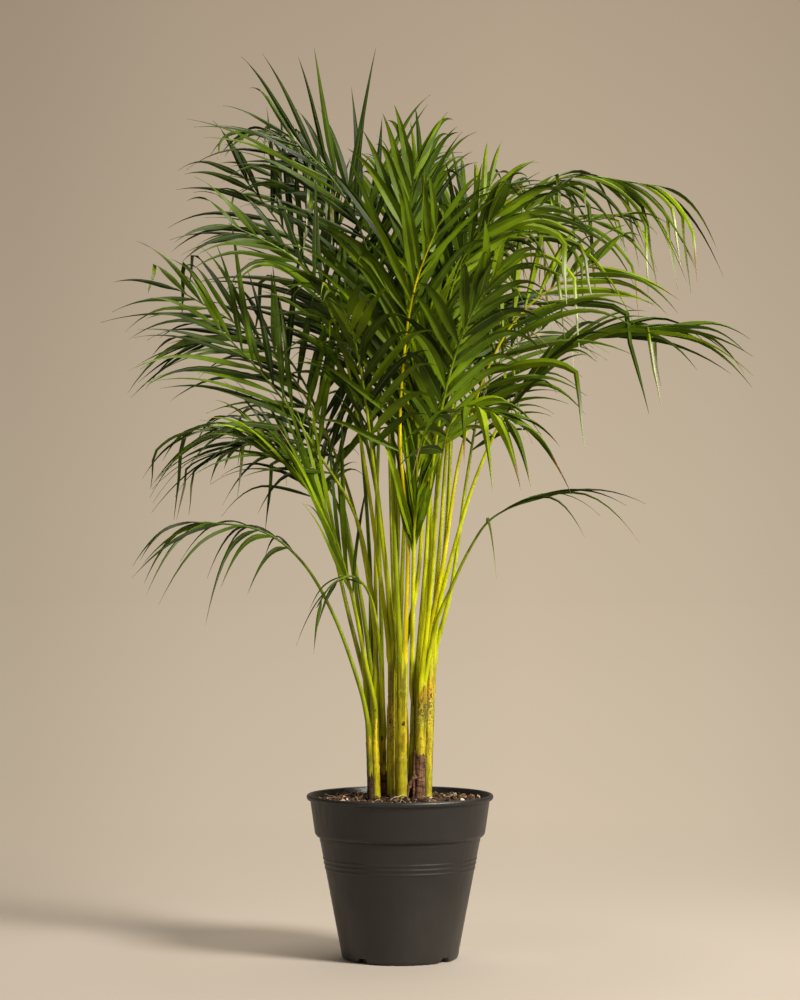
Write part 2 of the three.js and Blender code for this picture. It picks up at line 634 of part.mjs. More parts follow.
/** One frond as a closed skin: the rib's sections with each leaflet drawn out of one triangle of it. */
function frondGeometry(rib, leaflets) {
  const corners = [];
  const faces = [];
  const corner = (point) => corners.push(point) - 1;
  const rimCorner = ({ centre, side, above, radius }, degrees) => corner(centre.clone()
    .addScaledVector(side, radius * Math.cos(radians(degrees)))
    .addScaledVector(above, radius * Math.sin(radians(degrees))));
  const rings = rib.sections.slice(0, -1).map((section) => ({
    left: rimCorner(section, 150),
    right: rimCorner(section, 30),
    below: rimCorner(section, 270),
  }));
  const drawOut = (root, orders, tip) => {
    let last = root;
    for (const order of orders) {
      const next = order.map(corner);
      for (let i = 0; i < 3; i += 1) {
        const j = (i + 1) % 3;
        faces.push(...splitOutwards([last[i], last[j], next[j], next[i]], corners));
      }
      last = next;
    }
    const end = corner(tip);
    for (let i = 0; i < 3; i += 1) faces.push([last[i], last[(i + 1) % 3], end]);
  };
  faces.push([rings[0].left, rings[0].below, rings[0].right]);
  for (let k = 0; k + 1 < rings.length; k += 1) {
    const a = rings[k];
    const b = rings[k + 1];
    const pair = rib.roots.indexOf(k);
    faces.push([a.left, a.right, b.right], [a.left, b.right, b.left]);
    faces.push([a.right, b.below, b.right], [a.left, b.left, b.below]);
    for (const side of [1, -1]) {
      const root = side > 0 ? [a.right, a.below, b.below] : [a.below, a.left, b.below];
      const leaflet = pair < 0 ? null : leaflets.find((each) => each.pair === pair && each.side === side);
      if (leaflet) {
        const orders = leaflet.blade.map(({ back, front, ridge }) => (
          side > 0 ? [ridge, back, front] : [back, ridge, front]));
        drawOut(root, orders, leaflet.tip);
      } else {
        faces.push(root);
      }
    }
  }
  const last = rings.at(-1);
  const end = corner(rib.sections.at(-1).centre);
  faces.push([last.left, last.right, end], [last.right, last.below, end], [last.below, last.left, end]);
  return geometryOf(corners, faces);
}

// The whole palm

const palm = new THREE.Group();
palm.name = 'potted_palm';

function addPiece(name, geometry, material) {
  geometry.computeVertexNormals();
  const mesh = new THREE.Mesh(geometry, material);
  mesh.name = name;
  palm.add(mesh);
}

const numbered = (word, index) => `${word}_${String(index + 1).padStart(2, '0')}`;

addPiece('pot', potGeometry(), BLACK_PLASTIC);
addPiece('soil', soilGeometry(), POTTING_SOIL);

CANES.forEach((cane, index) => {
  addPiece(numbered('cane', index), caneGeometry(cane), cane.dry ? CANE_BROWN : CANE_GREEN);
  const radius = cane.radius * LEAF_SCAR.swell;
  const heights = [0, 0.25, 0.5, 0.75, 1].map((share) => mix(SOIL.height, cane.top[2], share));
  const axis = heights.map((height) => new THREE.Vector3(...caneAxis(cane, height), height));
  axis.at(-1).z -= radius;
  axis.slice(1).forEach((point, k) => {
    taken.add(item([axis[k], point], radius, { kind: 'cane', cane: index + 1 }));
  });
});

const feet = stalkFeet();
const ribs = FRONDS.map((each, index) => placedRib(each, index, feet.get(each)));
for (const rib of ribs) {
  const leaflets = [];
  for (let pair = 0; pair < rib.roots.length; pair += 1) {
    for (const side of [1, -1]) {
      const leaflet = placedLeaflet(rib, pair, side);
      if (leaflet) leaflets.push(leaflet);
    }
  }
  addPiece(numbered('frond', rib.index), frondGeometry(rib, leaflets), LEAF_GREEN);
}

export default palm;
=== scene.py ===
"""A butterfly palm in a nursery pot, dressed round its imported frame.

Tables and shapes are in millimetres, and each mesh is written in metres. Z is up, the origin is the
middle of the pot's underside and -Y is the front.
"""

import math
from collections import namedtuple

import bpy
import numpy as np
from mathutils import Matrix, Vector


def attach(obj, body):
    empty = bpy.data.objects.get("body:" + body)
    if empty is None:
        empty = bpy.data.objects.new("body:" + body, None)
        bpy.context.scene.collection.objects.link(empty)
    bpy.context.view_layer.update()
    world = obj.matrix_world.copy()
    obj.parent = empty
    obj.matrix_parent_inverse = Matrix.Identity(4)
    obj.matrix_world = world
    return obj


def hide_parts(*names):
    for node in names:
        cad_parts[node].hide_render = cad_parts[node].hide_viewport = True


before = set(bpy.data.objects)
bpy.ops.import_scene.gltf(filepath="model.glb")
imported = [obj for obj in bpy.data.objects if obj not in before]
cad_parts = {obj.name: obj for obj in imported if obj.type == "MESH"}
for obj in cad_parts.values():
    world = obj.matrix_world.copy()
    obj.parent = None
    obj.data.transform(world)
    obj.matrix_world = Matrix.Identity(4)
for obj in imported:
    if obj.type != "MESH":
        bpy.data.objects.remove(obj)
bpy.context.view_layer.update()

MM = 0.001
UP = np.array([0, 0, 1.0])

# Driving dimensions, as in the part

POT_HEIGHT = 211
RIM_RADIUS = 120
LIP_DEPTH = 6
COLLAR_TOP_RADIUS = 115.5
COLLAR_FOOT_RADIUS = 110
COLLAR_FOOT = 164
STEP = 156
BODY_RADIUS = 74  # at the foot
BODY_TAPER = 0.19
UNDERSIDE_RADIUS = 66
POT_WALL = 2.5
DRAIN_ANGLES = (-40, 50, 140, 230)  # degrees from the front
DRAIN_WIDTH = 11
DRAIN_HEIGHT = 7

SOIL_HEIGHT = 202
SOIL_HEAP = 5
HEAP_SPREAD = 45
CRUMB_WAVE = 1.6

CANE_DEPTH = 62
CANE_CLEAR = 13
LOW_LEAN = 0.7
SCAR_BELOW_TOP = 20
GAP = 0.3

STALK_RADIUS = 2.7
TIP_RADIUS = 0.9
THINNING = 1.5
STALK_RISE = 16

PAIR_START = 0.15
FEWEST_PAIRS = 3
BASE_ANGLE = 52
END_ANGLE = 22
ANGLE_SCATTER = 9
LENGTH_SCATTER = 0.14
DROOP_SHARES = (0.75, 1.25)
LEVELLING = 0.5

# Finer dimensions and counts, only here

POT_SEGMENTS = 192
FOOT_ROUND = 14  # height where the rounded foot ends
BEAD_HEIGHTS = (129, 123, 117)
BEAD = (0.75, 1.3)  # how far a bead stands out, and its spread
BEADED = (110, 136)  # the stretch of the body with close rings for the beads
SHOULDER_LINE = 152.5
SHOULDER = (0.45, 1.6)
DRAIN_SLOPE = 2.2  # over which a notch's side rises
AXIS_DISC = 3  # radius of the flat disc that closes a turned surface on its axis

MOUTH_RADIUS = COLLAR_TOP_RADIUS - POT_WALL  # of the pot's inside, at the soil's edge
SOIL_CLEAR = 0.5  # from the pot
SOIL_SEGMENTS = 220
SOIL_RINGS = 90
CHIPS = 900
FIBRES = 90
FIBRE_STATIONS = 7
FIBRE_CORNERS = 4

CANE_CORNERS = 20
CANE_STEP = 1.6  # between two rings
CLOSING_BELOW = 6  # how far below its top a cane starts to close
CLOSING_LENGTH = 18

CLASP_DEPTH = 24  # how far a stalk's base clasps its cane below the cane's top
CLASP_SHARES = np.array([1, 0.8, 0.6, 0.4, 0.2])  # of that depth, where the base has a ring
STALK_CORNERS = 12
LEAST_ANGLE = 12  # degrees between a leaflet and its rib

# Canes, as in the part: foot (x, y), top (x, y, z), radius, number of large leaf scars, and whether
# it is a dry one
Cane = namedtuple("Cane", "foot top radius scars dry")
CANES = [Cane(*values) for values in (
    ((-38, 14), (-42, 24, 330), 4, 1, False),
    ((-30, -6), (-33, -8, 316), 5, 2, False),
    ((-21, 8), (-23, 10, 288), 5, 1, True),
    ((-11, -4), (-11, -6, 392), 4.6, 2, False),
    ((2, -22), (3, -26, 388), 6.8, 3, False),
    ((14, -9), (18, -8, 350), 3.6, 1, False),
    ((25, -14), (29, -18, 346), 6, 2, True),
    ((35, 3), (39, 2, 404), 5.4, 2, False),
    ((-2, 24), (-5, 36, 380), 5.2, 2, False),
    ((18, 20), (27, 32, 372), 5.2, 2, False),
    ((-24, 30), (-36, 46, 360), 5.2, 1, False),
    ((36, 26), (43, 38, 384), 5, 2, False),
    ((-37, -18), (-40, -20, 290), 3.4, 1, True),
)]

# How each cane is coloured: from olive to yellow, specks, brown wear, height of its densest specks.
# Canes 1 and 13, at the bundle's left edge, take the darkest olive with full wear, which stands partly
# for painted shade there.
CANE_LOOKS = [
    (0.0, 0.2, 1.0, 330), (0.8, 0.3, 0.35, 300), (0.5, 0.3, 0.6, 300), (0.7, 0.8, 0.8, 300),
    (0.5, 0.2, 0.35, 360), (0.2, 0.4, 0.6, 310), (0.7, 1.0, 0.5, 318), (0.75, 1.0, 0.6, 322),
    (0.4, 0.3, 0.5, 300), (0.15, 0.5, 0.7, 300), (0.1, 0.3, 0.6, 300), (0.25, 0.6, 0.7, 330),
    (0.0, 0.3, 1.0, 300),
]

# Fronds, in three groups of values. Build and route are as in the part. Build: cane, bare share of
# the length, longest leaflet, width, rise, droop, twist and spread. Looks: tone from dark to lime,
# degrees that the leaflets are folded, share with dry tips, share with hooked tips, spacing and the
# stalk's colour from green to ochre. Route: points of the stalk and rib. The tone is set per frond
# partly as painted light and shade: the back fronds darker, and the backlit top frond 14 and the
# shaded low front frond 27 lighter.
Frond = namedtuple("Frond", "build looks route")
Build = namedtuple("Build", "cane bare longest width rise droop twist spread")
Looks = namedtuple("Looks", "tone fold dry hooked spacing stalk")
FRONDS = [Frond(Build(*build), Looks(*looks), route) for build, looks, route in (
    # left
    ((13, 0.62, 140, 8, 8, 0.65, 15, 1), (0.14, 22, 0.1, 0.0, 20, 0.2), (
        (-52, -22, 352), (-84, -26, 440), (-126, -45, 512), (-182, -60, 552), (-272, -75, 562))),
    ((1, 0.58, 165, 10, 15, 0.5, 25, 1), (0.22, 20, 0.1, 0.2, 18, 0.3), (
        (-54, 24, 450), (-80, 30, 580), (-128, 40, 650), (-186, 50, 684), (-262, 60, 680))),
    ((2, 0.40, 230, 11, 10, 0.12, 55, 0.42), (0.66, 40, 0.1, 0.0, 13, 0.3), (
        (-44, -16, 380), (-62, -32, 470), (-86, -50, 550), (-114, -66, 606), (-156, -84, 650))),
    ((2, 0.54, 215, 10, 10, 0.16, 75, 1), (0.34, 10, 0, 0.05, 20, 0.42), (
        (-32, -4, 430), (-54, -20, 560), (-105, -45, 650), (-159, -60, 730), (-237, -90, 815))),
    ((3, 0.52, 185, 11, 10, 0.18, 70, 1), (0.26, 18, 0, 0.1, 23, 0.5), (
        (-36, 10, 450), (-66, 6, 600), (-120, 0, 720), (-190, -10, 800), (-290, -20, 862))),
    ((4, 0.55, 190, 11, 10, 0.18, 75, 1), (0.08, 18, 0, 0.0, 24, 0.15), (
        (-20, 0, 520), (-38, 15, 640), (-80, 45, 800), (-136, 72, 918), (-212, 100, 1022))),
    ((11, 0.54, 185, 11, 18, 0.2, 50, 1), (0.08, 18, 0, 0.1, 31, 0.1), (
        (-40, 66, 520), (-58, 102, 720), (-95, 150, 880), (-130, 195, 975), (-175, 230, 1035))),
    ((9, 0.68, 110, 9, 20, 0.5, 10, 1), (0.2, 20, 0.1, 0.4, 18, 0.3), (
        (-24, 36, 560), (-55, 42, 800), (-85, 30, 950), (-138, 12, 1046), (-200, -8, 1064))),
    ((4, 0.50, 190, 11, 12, 0.22, 68, 1), (0.26, 18, 0, 0.1, 23, 0.5), (
        (-24, -12, 480), (-46, -30, 640), (-75, -50, 790), (-125, -90, 885), (-216, -130, 935))),
    ((11, 0.48, 175, 11, 18, 0.25, 50, 1), (0.16, 18, 0, 0.1, 25, 0.2), (
        (-54, 50, 480), (-88, 70, 640), (-130, 95, 750), (-190, 120, 810), (-280, 150, 800))),
    # top
    ((5, 0.60, 230, 10, 8, 0.06, 75, 1), (0.27, 22, 0, 0.0, 20, 0.3), (
        (-4, -32, 520), (-12, -30, 720), (-34, -28, 880), (-76, -34, 984), (-146, -44, 1058))),
    ((9, 0.58, 165, 12, 10, 0.06, 65, 1), (0.08, 8, 0, 0.15, 25, 0.3), (
        (-2, 50, 560), (-4, 54, 760), (-24, 52, 900), (-64, 48, 988), (-124, 46, 1044))),
    ((8, 0.56, 175, 11, 20, 0.12, 0, 1), (0.28, 22, 0, 0.1, 19, 0.4), (
        (40, 8, 560), (24, 20, 760), (14, 34, 880), (18, 48, 950), (30, 54, 1020))),
    ((10, 0.55, 160, 11, 15, 0.15, -50, 1), (0.8, 14, 0, 0.1, 18, 0.5), (
        (44, 34, 560), (58, 34, 740), (74, 42, 870), (92, 50, 945), (120, 60, 1005))),
    # right
    ((12, 0.50, 165, 9, 5, 0.8, -15, 1), (0.5, 20, 0.25, 0.5, 16, 0.4), (
        (62, 50, 560), (74, 66, 780), (126, 76, 924), (206, 66, 1008), (336, 30, 996))),
    ((8, 0.52, 180, 10, 8, 0.5, -50, 1), (0.6, 26, 0.25, 0.45, 19, 0.5), (
        (52, 14, 540), (66, 24, 700), (102, 24, 845), (160, 12, 930), (262, -12, 950))),
    ((8, 0.50, 200, 12, 8, 0.3, -72, 1), (0.62, 26, 0.1, 0.12, 21, 0.8), (
        (56, -8, 512), (78, -18, 650), (116, -30, 765), (166, -40, 838), (256, -50, 895))),
    ((8, 0.54, 185, 12, 10, 0.3, -20, 0.42), (0.45, 48, 0.1, 0.08, 20, 0.5), (
        (62, -4, 500), (98, -25, 620), (145, -42, 715), (220, -52, 788), (352, -68, 812))),
    ((7, 0.70, 220, 6, 5, 0.45, -10, 0.8), (0.25, 35, 0.2, 0.0, 26, 0.4), (
        (46, -30, 430), (64, -45, 475), (90, -65, 530), (116, -85, 566), (165, -105, 592))),
    ((7, 0.60, 130, 14, 15, 0.6, -20, 1), (0.6, 26, 0.7, 0.1, 21, 0.6), (
        (40, -40, 480), (48, -80, 600), (62, -135, 685), (90, -185, 705), (140, -235, 685))),
    ((10, 0.50, 190, 12, 10, 0.35, -65, 1), (0.5, 14, 0.05, 0.1, 20, 0.5), (
        (36, 22, 540), (48, 12, 740), (72, -5, 868), (112, -22, 930), (186, -45, 968))),
    ((12, 0.55, 160, 11, 15, 0.35, -40, 1), (0.22, 20, 0, 0.1, 18, 0.4), (
        (68, 56, 480), (88, 80, 620), (108, 105, 720), (142, 135, 785), (195, 170, 820))),
    # front
    ((5, 0.46, 195, 12, 20, 0.1, 0, 0.9), (0.40, 22, 0, 0.05, 19, 0.95), (
        (10, -44, 540), (0, -70, 670), (6, -96, 780), (20, -124, 860), (50, -158, 936))),
    ((4, 0.50, 175, 12, 18, 0.25, 15, 0.75), (0.46, 22, 0.1, 0, 18, 0.4), (
        (-16, -24, 480), (-32, -52, 620), (-48, -92, 745), (-64, -138, 812), (-86, -190, 842))),
    ((5, 0.56, 190, 13, 20, 0.1, 0, 0.9), (0.32, 20, 0, 0.05, 20, 0.2), (
        (-6, -42, 520), (-10, -50, 660), (-4, -56, 790), (6, -66, 905), (20, -78, 1022))),
    ((6, 0.54, 165, 13, 18, 0.3, 20, 0.85), (0.5, 16, 0, 0, 19, 0.45), (
        (32, -20, 500), (40, -50, 620), (56, -84, 720), (82, -116, 805), (124, -152, 880))),
    ((6, 0.50, 190, 13, 12, 0.05, 0, 0.4), (0.75, 32, 0, 0.0, 12, 0.5), (
        (16, -32, 430), (18, -46, 540), (22, -60, 640), (27, -76, 730), (36, -98, 820))),
    ((5, 0.52, 180, 13, 18, 0.25, 30, 0.9), (0.56, 22, 0, 0, 19, 0.5), (
        (24, -34, 500), (34, -50, 660), (54, -72, 800), (78, -95, 890), (132, -126, 960))),
    ((3, 0.66, 60, 6, 10, 0.6, 0, 1), (0.12, 20, 0.2, 0.0, 34, 0.45), (
        (-26, -14, 400), (-38, -34, 466), (-60, -55, 492), (-86, -75, 482), (-106, -85, 452))),
    # back
    ((1, 0.52, 170, 11, 20, 0.35, 20, 1), (0.2, 20, 0, 0.1, 18, 0.3), (
        (-64, 40, 430), (-98, 90, 560), (-140, 165, 640), (-185, 220, 668), (-240, 290, 655))),
    ((9, 0.50, 180, 12, 20, 0.35, 0, 1), (0.18, 20, 0, 0.1, 18, 0.4), (
        (-10, 74, 520), (-14, 130, 690), (-12, 190, 810), (-4, 255, 860), (6, 340, 850))),
    ((12, 0.50, 180, 12, 20, 0.35, 0, 1), (0.16, 20, 0, 0.1, 18, 0.5), (
        (58, 70, 520), (70, 122, 690), (88, 182, 800), (125, 240, 850), (175, 315, 850))),
    ((11, 0.54, 170, 12, 25, 0.2, 0, 1), (0.18, 18, 0, 0.1, 20, 0.3), (
        (-30, 62, 600), (-22, 92, 800), (-10, 132, 930), (2, 175, 1000), (18, 225, 1040))),
    ((9, 0.54, 170, 12, 20, 0.25, -25, 1), (0.22, 18, 0, 0.1, 18, 0.4), (
        (8, 50, 600), (26, 78, 800), (58, 118, 930), (98, 158, 990), (155, 205, 1010))),
    ((3, 0.54, 170, 11, 15, 0.2, 55, 1), (0.08, 18, 0, 0.1, 30, 0.2), (
        (-28, 22, 560), (-42, 28, 740), (-64, 42, 880), (-94, 62, 965), (-152, 86, 1026))),
)]

FINE_START = {19: 0.76, 20: 0.63, 27: 0.36}  # frond: its bare share where it isn't the part's


# Numbers

def draw(a, b, c):
    """A settled draw between 0 and 1 for three counting numbers: the fraction of a large sine."""
    wave = np.sin(a * 12.9898 + b * 78.233 + c * 37.719) * 43758.5453
    return wave - np.floor(wave)


def scatter(size, a, b, c):
    """A draw between -size and size."""
    return size * (2 * draw(a, b, c) - 1)


def mix(a, b, share):
    """a where the share is 0, b where it is 1, and on the line through them elsewhere."""
    return a + (b - a) * share


def smooth(x):
    """0 below 0 and 1 above 1, with a soft step between them."""
    x = np.clip(x, 0, 1)
    return x * x * (3 - 2 * x)


def bump(x, middle, spread):
    """A bell of height 1: e to the negative square of the distance from the middle over the spread."""
    return np.exp(-((x - middle) / spread) ** 2)


def unit(vectors):
    """The vectors at length 1."""
    return vectors / np.linalg.norm(vectors, axis=-1, keepdims=True)


def dot(a, b):
    return (a * b).sum(-1, keepdims=True)


# Meshes

def lofted(rings, ends_meet=False):
    """Faces of tubes through rings[tube, station, corner]: neighbours along and round are joined by
    four-cornered faces. The first and the last ring of a tube are a face each, or joined as well."""
    tubes, stations, corners = rings.shape[:3]
    index = np.arange(tubes * stations * corners).reshape(tubes, stations, corners)
    turned = np.roll(index, -1, axis=2)
    sides = np.stack([index[:, :-1], turned[:, :-1], turned[:, 1:], index[:, 1:]], axis=-1)
    if ends_meet:
        joint = np.stack([index[:, -1], turned[:, -1], turned[:, 0], index[:, 0]], axis=-1)
        return [sides.reshape(-1, 4), joint.reshape(-1, 4)]
    return [sides.reshape(-1, 4), index[:, 0, ::-1], index[:, -1]]


def mesh_of(name, points, tables, materials, uv=None, material_of=None, crease=None, **values):
    """A mesh in metres from points in millimetres and tables of faces, with its values on the points."""
    loops = np.concatenate([table.ravel() for table in tables]).astype(np.int32)
    sizes = np.concatenate([np.full(len(table), table.shape[1]) for table in tables]).astype(np.int32)
    mesh = bpy.data.meshes.new(name)
    mesh.vertices.add(len(points))
    mesh.vertices.foreach_set("co", (points * MM).astype(np.float32).ravel())
    mesh.loops.add(len(loops))
    mesh.loops.foreach_set("vertex_index", loops)
    mesh.polygons.add(len(sizes))
    mesh.polygons.foreach_set("loop_start", (np.cumsum(sizes) - sizes).astype(np.int32))
    mesh.update(calc_edges=True)
    for material in materials:
        mesh.materials.append(material)
    if material_of is not None:
        mesh.polygons.foreach_set("material_index", material_of.astype(np.int32))
    if uv is not None:
        layer = mesh.uv_layers.new(name="UVMap")
        layer.data.foreach_set("uv", uv[loops].astype(np.float32).ravel())
    for key, value in values.items():
        attribute = mesh.attributes.new(key, "FLOAT", "POINT")
        attribute.data.foreach_set("value", np.broadcast_to(value, len(points)).astype(np.float32))
    if crease is None:
        mesh.shade_flat()
    else:
        mesh.shade_smooth()
        mesh.set_sharp_from_angle(angle=math.radians(crease))
    return mesh


def new_object(name, data):
    made = bpy.data.objects.new(name, data)
    bpy.context.scene.collection.objects.link(made)
    return made


def add_piece(name, mesh, slot, *nodes):
    """A piece that rides on the body root and replaces its nodes of the CAD. Its slot is not used."""
    piece = new_object(name, mesh)
    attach(piece, "root")
    if nodes:
        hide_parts(*nodes)
    return piece


# Materials

class Field:
    """A value over a surface: what a node gives. Arithmetic with it makes more nodes."""

    def __init__(self, tree, socket):
        self.tree = tree
        self.socket = socket

    def maths(self, operation, *values):
        return add(self.tree, "ShaderNodeMath", dict(enumerate(values)), operation=operation)

    def __add__(self, other):
        return self.maths("ADD", self, other)

    def __sub__(self, other):
        return self.maths("SUBTRACT", self, other)

    def __rsub__(self, other):
        return self.maths("SUBTRACT", other, self)

    def __mul__(self, other):
        return self.maths("MULTIPLY", self, other)

    def __truediv__(self, other):
        return self.maths("DIVIDE", self, other)

    def __gt__(self, other):
        return self.maths("GREATER_THAN", self, other)

    def __abs__(self):
        return self.maths("ABSOLUTE", self)

    def at_least(self, least):
        return self.maths("MAXIMUM", self, least)


def add(tree, kind, sockets=None, output=0, **settings):
    """A node of one kind with its settings, read at one output. Each socket is linked to a field or
    set to a number, a vector or a colour (red, green, blue)."""
    made = tree.nodes.new(kind)
    for key, value in settings.items():
        setattr(made, key, value)
    for key, value in (sockets or {}).items():
        socket = made.inputs[key]
        if isinstance(value, Field):
            tree.links.new(value.socket, socket)
        else:
            socket.default_value = (*value, 1) if socket.type == "RGBA" else value
    return Field(tree, made.outputs[output]) if made.outputs else None


def object_place(tree):
    return add(tree, "ShaderNodeTexCoord", output="Object")


def value_of(tree, name):
    return add(tree, "ShaderNodeAttribute", output="Fac", attribute_name=name)


def axis_of(vector, axis):
    return add(vector.tree, "ShaderNodeSeparateXYZ", {"Vector": vector}, axis)


def stretched(place, scale):
    return add(place.tree, "ShaderNodeMapping", {"Vector": place, "Scale": scale})


def noise(place, scale, detail=3, roughness=0.5, z_scale=1):
    """Soft noise over places, which is drawn out upright where the scale along Z is small."""
    if z_scale != 1:
        place = stretched(place, (1, 1, z_scale))
    return add(place.tree, "ShaderNodeTexNoise", {
        "Vector": place, "Scale": scale, "Detail": detail, "Roughness": roughness}, "Fac")


def ramp(factor, *stops):
    """A colour for a factor, from stops of (position, colour), where a single number is a grey."""
    made = add(factor.tree, "ShaderNodeValToRGB", {"Fac": factor})
    elements = made.socket.node.color_ramp.elements
    while len(elements) < len(stops):
        elements.new(0.5)
    for element, (position, color) in zip(elements, stops):
        element.position = position
        element.color = (*(color if isinstance(color, tuple) else (color,) * 3), 1)
    return made


def blend(factor, a, b, mode="MIX"):
    tree = a.tree if isinstance(a, Field) else factor.tree
    return add(tree, "ShaderNodeMix", {"Factor": factor, 6: a, 7: b}, 2, data_type="RGBA", blend_type=mode)


def shaded(color, shade, amount=1.0):
    return blend(amount, color, shade, "MULTIPLY")


def bumped(height, strength, distance):
    return add(height.tree, "ShaderNodeBump", {
        "Height": height, "Strength": strength, "Distance": distance})


def surface(color, roughness, specular, normal):
    return add(normal.tree, "ShaderNodeBsdfPrincipled", {
        "Base Color": color, "Roughness": roughness, "Specular IOR Level": specular, "Normal": normal})


def material(finish):
    """A material with its finish's name. A finish is a function that gives a tree's shader."""
    made = bpy.data.materials.new(finish.__name__)
    made.use_nodes = True
    made.node_tree.nodes.clear()
    add(made.node_tree, "ShaderNodeOutputMaterial", {"Surface": finish(made.node_tree)})
    return made


def pot_plastic(tree):
    """Matte charcoal plastic: a fine moulded grain, faint upright scuffs and a little dust low down."""
    place = object_place(tree)
    grain = noise(place, 1400, 2)
    cloud = noise(place, 14, 4)
    scuffs = noise(stretched(place, (160, 160, 9)), 1, 3)
    low = 1.0 - axis_of(place, "Z") * 9.0
    base = ramp(cloud, (0.3, (0.0070, 0.0064, 0.0057)), (0.7, (0.0108, 0.0098, 0.0086)))
    dust = low.at_least(0.0) * (cloud * 0.16)
    color = blend(dust, base, (0.10, 0.085, 0.07))
    roughness = ramp(scuffs, (0.3, 0.38), (0.7, 0.52))
    return surface(color, roughness, 0.5, bumped(grain, 0.12, 0.0004))


def potting_soil(tree):
    """Damp bark mix: dark brown, with crumbs in clumps."""
    place = object_place(tree)
    crumbs = noise(place, 260, 6, 0.7)
    color = ramp(
        crumbs, (0.3, (0.012, 0.007, 0.004)), (0.5, (0.045, 0.024, 0.013)), (0.62, (0.10, 0.058, 0.032)),
        (0.75, (0.24, 0.16, 0.10)))
    clumped = shaded(color, ramp(noise(place, 60, 3), (0.3, 0.55), (0.7, 1.0)))
    return surface(clumped, 0.92, 0.15, bumped(crumbs, 0.8, 0.004))


def bark_chips(tree):
    """Chips of bark and wood: each has its own tone, from nearly black through red-brown to pale straw."""
    fibre = noise(object_place(tree), 900, 4)
    color = ramp(
        value_of(tree, "tone"), (0.0, (0.010, 0.005, 0.003)), (0.35, (0.038, 0.017, 0.008)),
        (0.62, (0.095, 0.045, 0.022)), (0.8, (0.21, 0.125, 0.07)), (0.93, (0.46, 0.34, 0.22)),
        (1.0, (0.72, 0.64, 0.53)))
    streaked = shaded(color, ramp(fibre, (0.3, 0.6), (0.7, 1.0)))
    return surface(streaked, 0.85, 0.2, bumped(fibre, 0.5, 0.001))


def cane_skin(tree):
    """Smooth cane, olive to yellow, amber in places, with fine streaks, dark specks on paler skin that are
    dense in places, brown wear that is strongest near the soil, faint broken leaf scars and, up high,
    dark lengthwise lines that are painted shadow between the canes and stalks."""
    place = object_place(tree)
    up = value_of(tree, "along")
    speckled = value_of(tree, "specks")
    patches = noise(place, 110, 4, 0.6, z_scale=0.3)
    blotches = noise(place, 260, 3, z_scale=0.22)
    streaks = noise(place, 520, 3, z_scale=0.05)
    specks = noise(place, 620, 4, 0.65, z_scale=0.6)
    olive = ramp(
        up, (0.0, (0.13, 0.122, 0.004)), (0.4, (0.18, 0.175, 0.004)), (0.75, (0.24, 0.27, 0.003)),
        (1.0, (0.37, 0.41, 0.002)))
    bright = ramp(
        up, (0.0, (0.52, 0.47, 0.003)), (0.5, (0.76, 0.60, 0.003)), (0.75, (0.64, 0.56, 0.003)),
        (1.0, (0.50, 0.50, 0.002)))
    green = blend(value_of(tree, "tone"), olive, bright)
    amber = blend(value_of(tree, "amber") * 0.85, green, (0.70, 0.38, 0.004))
    skin = blend(speckled * 0.4, amber, (0.52, 0.48, 0.13))
    veined = shaded(skin, ramp(streaks, (0.35, 0.3), (0.65, 1.0)), 0.38)
    # Painted shade: dark lengthwise lines on the upper cane stand for the shadow gaps between canes and
    # stalks.
    shadow_lines = ramp(noise(place, 210, 2, z_scale=0.03), (0.44, 0.25), (0.5, 1.0))
    lined = ramp(up, (0.5, 0.0), (0.62, 0.8), (0.85, 0.8), (1.0, 0.3))
    cloud = ramp(blotches, (0.5, 0.0), (0.68, 0.6))
    clouded = blend(cloud, shaded(veined, shadow_lines, lined), (0.10, 0.105, 0.004))
    specked = blend((specks > 0.66 - speckled * 0.165) * 0.85, clouded, (0.050, 0.024, 0.008))
    low = (1.0 - up * 1.1).at_least(0.25)
    worn = ramp(patches, (0.44, 0.0), (0.60, 1.0))
    patched = blend(worn * (low * value_of(tree, "wear")), specked, (0.085, 0.042, 0.012))
    broken = ramp(noise(place, 240, 2), (0.40, 0.1), (0.62, 0.8))
    ringed = blend(broken * value_of(tree, "scar"), patched, (0.085, 0.045, 0.014))
    roughness = ramp(patches, (0.3, 0.42), (0.7, 0.62))
    return surface(ringed, roughness, 0.16, bumped(streaks, 0.3, 0.0004))


def dry_sheath(tree):
    """Papery old leaf sheath: red-brown with dark lengthwise fibres and dark bands across them that are
    painted shade in its creases, and the darker the olive canes it wraps."""
    place = object_place(tree)
    fibres = noise(place, 900, 5, 0.6, z_scale=0.05)
    color = ramp(
        fibres, (0.3, (0.040, 0.017, 0.008)), (0.5, (0.165, 0.078, 0.040)), (0.72, (0.34, 0.19, 0.11)))
    # Painted shade: dark bands across the fibres stand for the shade in the sheath's creases, and they
    # darken further on olive canes.
    creases = noise(stretched(place, (0.5, 0.5, 1.6)), 260, 3)
    olive_darkening = ramp(value_of(tree, "tone"), (0.0, 0.3), (0.6, 1.0))
    crease_shade = shaded(ramp(creases, (0.40, 0.35), (0.52, 1.0)), olive_darkening)
    clouds = ramp(noise(place, 120, 4), (0.3, 0.55), (0.7, 1.1))
    old = shaded(color, shaded(clouds, crease_shade))
    return surface(old, 0.75, 0.2, bumped(fibres, 0.7, 0.0012))


